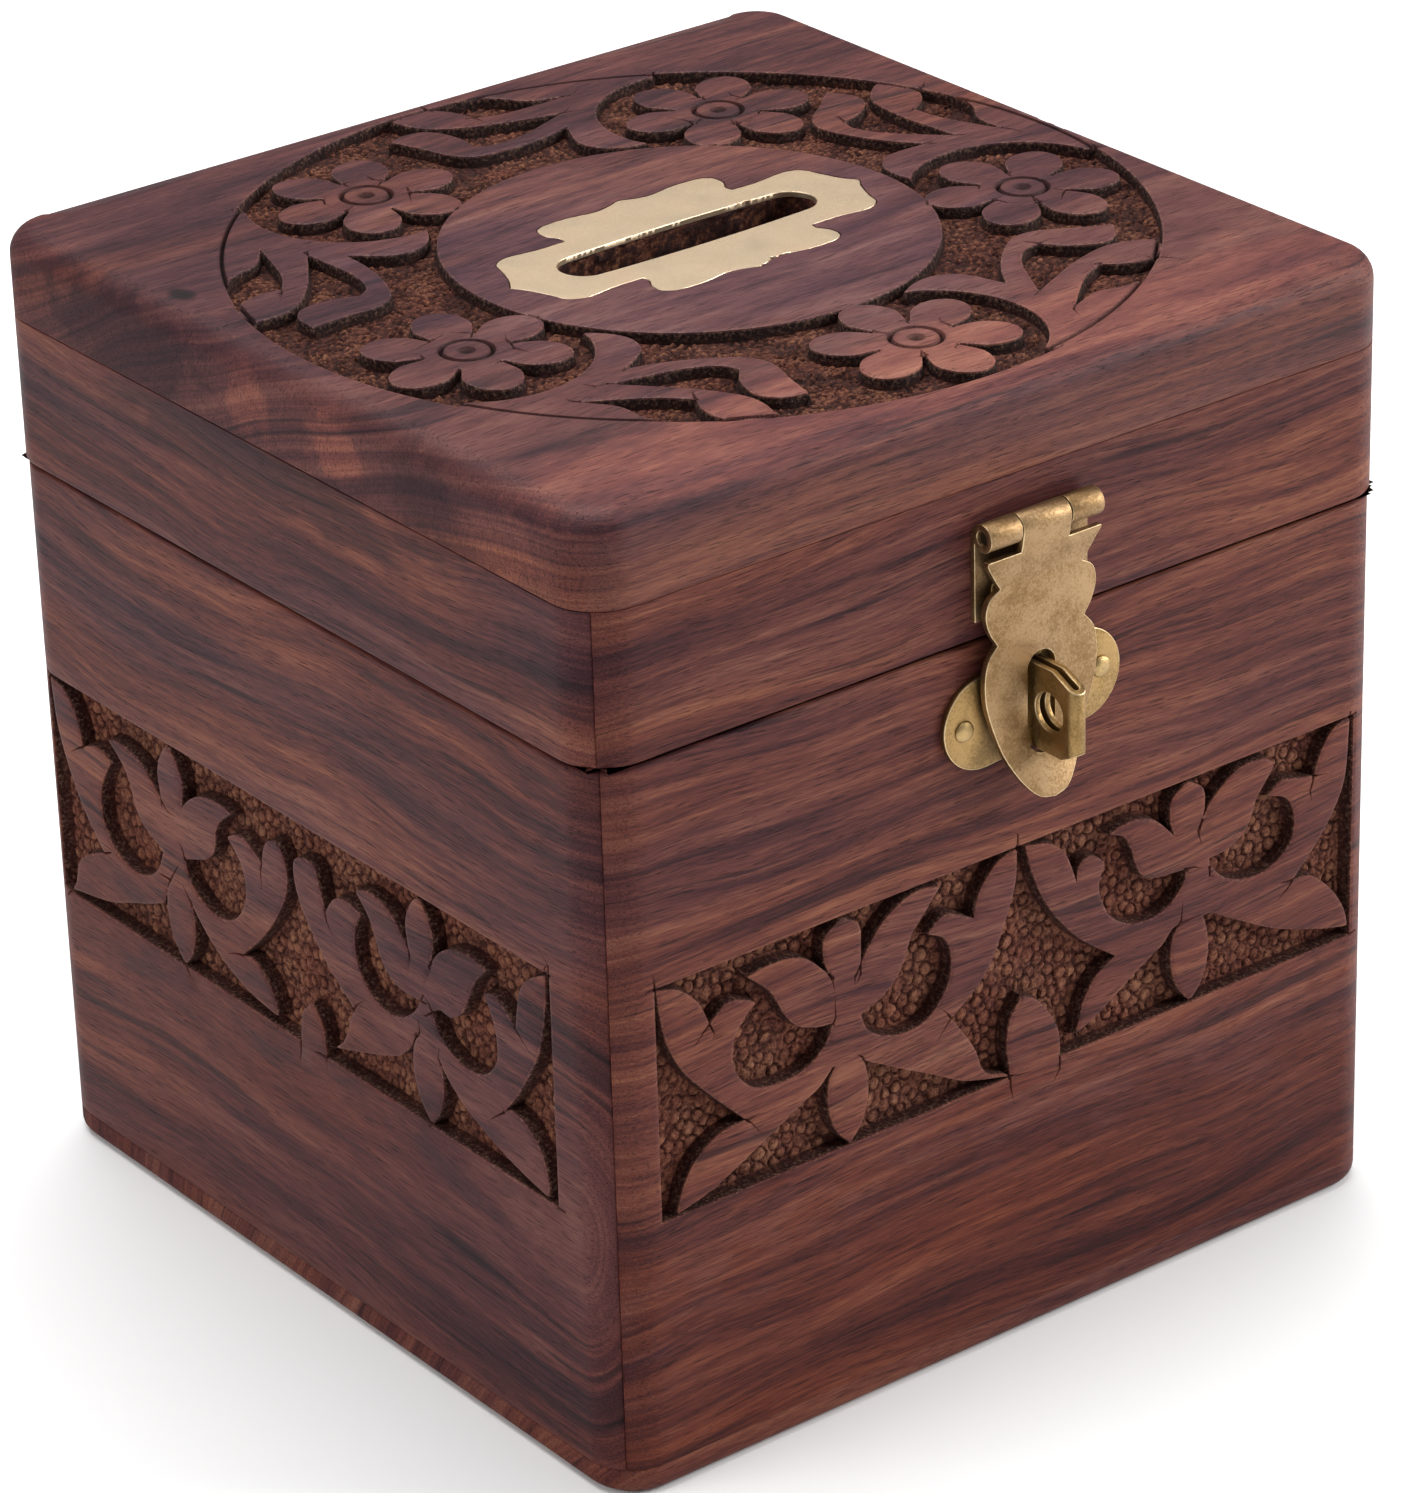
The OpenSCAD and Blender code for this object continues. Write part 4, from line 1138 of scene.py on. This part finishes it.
def plate_outlines(step):
    """The slot plate's outer outline and its slot, both with the brass on the left."""
    plan, tris = cad_mesh("slot_plate")
    top = plan[:, 2] > plan[:, 2].max() - 0.01
    loops = flat_outlines(plan[:, :2], tris, top)
    loops.sort(key=lambda loop: -np.ptp(loop[:, 0]))
    return [smooth_outline(loop, step) for loop in loops]


def ragged(loop, uneven, chips):
    """Snipped edge of a sheet: slightly uneven, with chips, each a place and a size."""
    loop = offset_points(loop, uneven * (wobble(loop, 0.6, 31)[:, None] - 1))
    for place, size in chips:
        near = clip01(1 - lengths(loop - place) / (2.2 * size))
        bite = clip01(near * (0.7 + wobble(loop, 0.45, 33)))
        loop = offset_points(loop, -size * bite[:, None])
    return loop


def slot_plate(material):
    """The thin brass plate round the coin slot, with a rounded, snipped edge."""
    plan, _ = cad_mesh("slot_plate")
    z0, z1 = plan[:, 2].min(), plan[:, 2].max()
    outer, slot = plate_outlines(0.16)
    outer = ragged(outer, 0.04, (((1.2, -11.7), 0.35), ((2.8, -11.2), 0.5), ((4.5, -10.9), 0.4)))
    slot = ragged(slot, 0.0, (((10.2, 2.95), 0.4), ((4.0, 2.95), 0.2), ((-6.0, 2.95), 0.15)))
    loops = [outer, slot]
    field = Field(loops)
    sheet = Sheet()
    edges = [sheet.add(loop, closed=True) for loop in loops]
    for loop in loops:
        for shift in (-0.06, -0.14):
            line = offset_points(loop, shift)
            sheet.add(line[np.abs(field.at(line, field.gap) - shift) < 0.03])
    middle = hex_points(outer.min(axis=0), outer.max(axis=0), 1.1, np.random.default_rng(3))
    sheet.add(middle[field.at(middle, field.gap) < -0.5])
    top, tris, went = sheet.triangles(lambda middles: inside(middles, loops))

    gap = -field.at(top, field.gap)
    z = z1 - soft(gap, 0.08) + 0.02 * wobble(top, 3.0, 8) * clip01(gap) - 0.02
    points = [tuple(p) for p in np.column_stack((top, z))]
    faces = tris.tolist()
    lower = []
    for numbers in edges:
        upper = [int(went[i]) for i in numbers]
        lower.append(add_ring(points, [points[i] for i in upper], z0 + 0.02))
        faces += [face[::-1] for face in loft([upper, lower[-1]])]
    faces += ring_face(outer, lower[0], slot, lower[1], up=False)
    make_piece("slot_plate", "brass", points, faces, "lid", material)


def worn_copy(node, body, slot, materials, width):
    """A CAD node's shape with its flat faces rejoined and its sharp edges worn round. materials
    are the one for its faces and, if there is a second, the one for its worn edges."""
    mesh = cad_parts[node].data.copy()
    mesh.name = node + "_worn"
    mesh.materials.clear()
    for material in materials:
        mesh.materials.append(material)
    piece = new_object(node + "_metal", mesh)
    bm = bmesh.new()
    bm.from_mesh(mesh)
    bmesh.ops.remove_doubles(bm, verts=bm.verts, dist=0.0005 * MM)
    bmesh.ops.dissolve_limit(bm, angle_limit=math.radians(1), verts=bm.verts, edges=bm.edges)
    for face in bm.faces:
        face.smooth = True
    bm.to_mesh(mesh)
    bm.free()
    bevel = piece.modifiers.new("worn", "BEVEL")
    bevel.width = width * MM
    bevel.segments = 2
    bevel.material = len(materials) - 1
    bevel.limit_method = "ANGLE"
    bevel.angle_limit = math.radians(WORN_SHARP)
    bevel.harden_normals = True
    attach(piece, body)
    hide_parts(node)


def make_boards():
    """Every wooden piece."""
    along_x, along_y, level = (0, 1, 2), (1, 0, 2), (0, 2, 1)
    front = wood("wood_front", along_x, (60, 20), 1, grounds=PUNCHED, patches=FRONT_DARKER_LOW)
    back = wood("wood_back", along_x, (-50, 35), 2, grounds=PUNCHED)
    left = wood("wood_left", along_y, (70, -30), 3, tone=-0.025, warmth=0.2, grounds=PUNCHED,
                patches=LEFT_DARKER_LOW)
    right = wood("wood_right", along_y, (-45, 60), 4, grounds=PUNCHED)
    top = wood("wood_top", level, (120, 75), 5, warmth=0.2, grounds=CHISELLED, sheen=0.2,
               patches=TOP_STAINS_AND_PAINTED_LIGHT)
    rail = wood("wood_rail", along_x, (55, -60), 6, tone=-0.015)
    side_rail = wood("wood_side_rail", along_y, (65, 45), 7, tone=-0.035, warmth=0.15,
                     patches=RAIL_STAINS)
    under = wood("wood_bottom", level, (30, 80), 8)

    wall_edges = (JOINT_ROUND, SEAM_ROUND)
    rail_edges = (SEAM_ROUND, JOINT_ROUND)
    sides = ("front", "right", "back", "left")
    for side, (name, material) in enumerate(zip(sides, (front, right, back, left))):
        side_board(f"base_{name}_board", "base", side, material, wall_edges, 21 + side)
    for side, (name, material) in enumerate(zip(sides, (rail, side_rail, rail, side_rail))):
        side_board(f"lid_{name}_rail", "lid", side, material, rail_edges)
    bottom_board(under)
    top_board(top)


def make_brass():
    """The slot plate and all the fittings."""
    edge = brass("worn_brass", (0.66, 0.50, 0.29), (0.40, 0.28, 0.14), 0.34, 0.6)
    antique = brass("antique_brass", (0.36, 0.235, 0.122), (0.19, 0.108, 0.042), 0.44, 0.85)
    dark = brass("dark_brass", (0.37, 0.235, 0.095), (0.17, 0.105, 0.038), 0.40, 0.85)
    dull = brass("dull_brass", (0.46, 0.32, 0.145), (0.24, 0.155, 0.065), 0.42, 0.8)
    polished = brass("polished_brass", (0.80, 0.63, 0.44), (0.64, 0.46, 0.30), 0.38, 0.6, 0.03)
    # Steel of the pins, darkened further as painted shade, standing in for the hollow rolled ends
    # of the barrels
    shaded_pin_steel = brass("pin_steel_with_painted_shade", (0.07, 0.055, 0.04), (0.035, 0.028, 0.02), 0.5)
    slot_plate(polished)
    leaf = ("antique_brass", (antique, edge))
    pin = ("steel_pin", (shaded_pin_steel,))
    nail = ("polished_brass", (dull,))
    worn_copy("staple", "base", "antique_brass", (dark, edge), 0.12)
    worn_copy("hasp_leaf", "lid", *leaf, 0.1)
    worn_copy("hasp_strap", "hasp", *leaf, 0.12)
    for side in ("left", "right"):
        worn_copy(side + "_hinge_base_leaf", "base", *leaf, 0.12)
        worn_copy(side + "_hinge_lid_leaf", "lid", *leaf, 0.12)
        worn_copy(side + "_hinge_pin", "base", *pin, 0.1)
    worn_copy("hasp_pin", "lid", *pin, 0.1)
    worn_copy("staple_nails", "base", *nail, 0.08)
    worn_copy("hinge_base_nails", "base", *nail, 0.08)
    worn_copy("hinge_lid_nails", "lid", *nail, 0.08)
    worn_copy("hasp_leaf_nails", "lid", *nail, 0.05)


def main():
    add_camera()
    add_studio()
    make_boards()
    make_brass()


main()
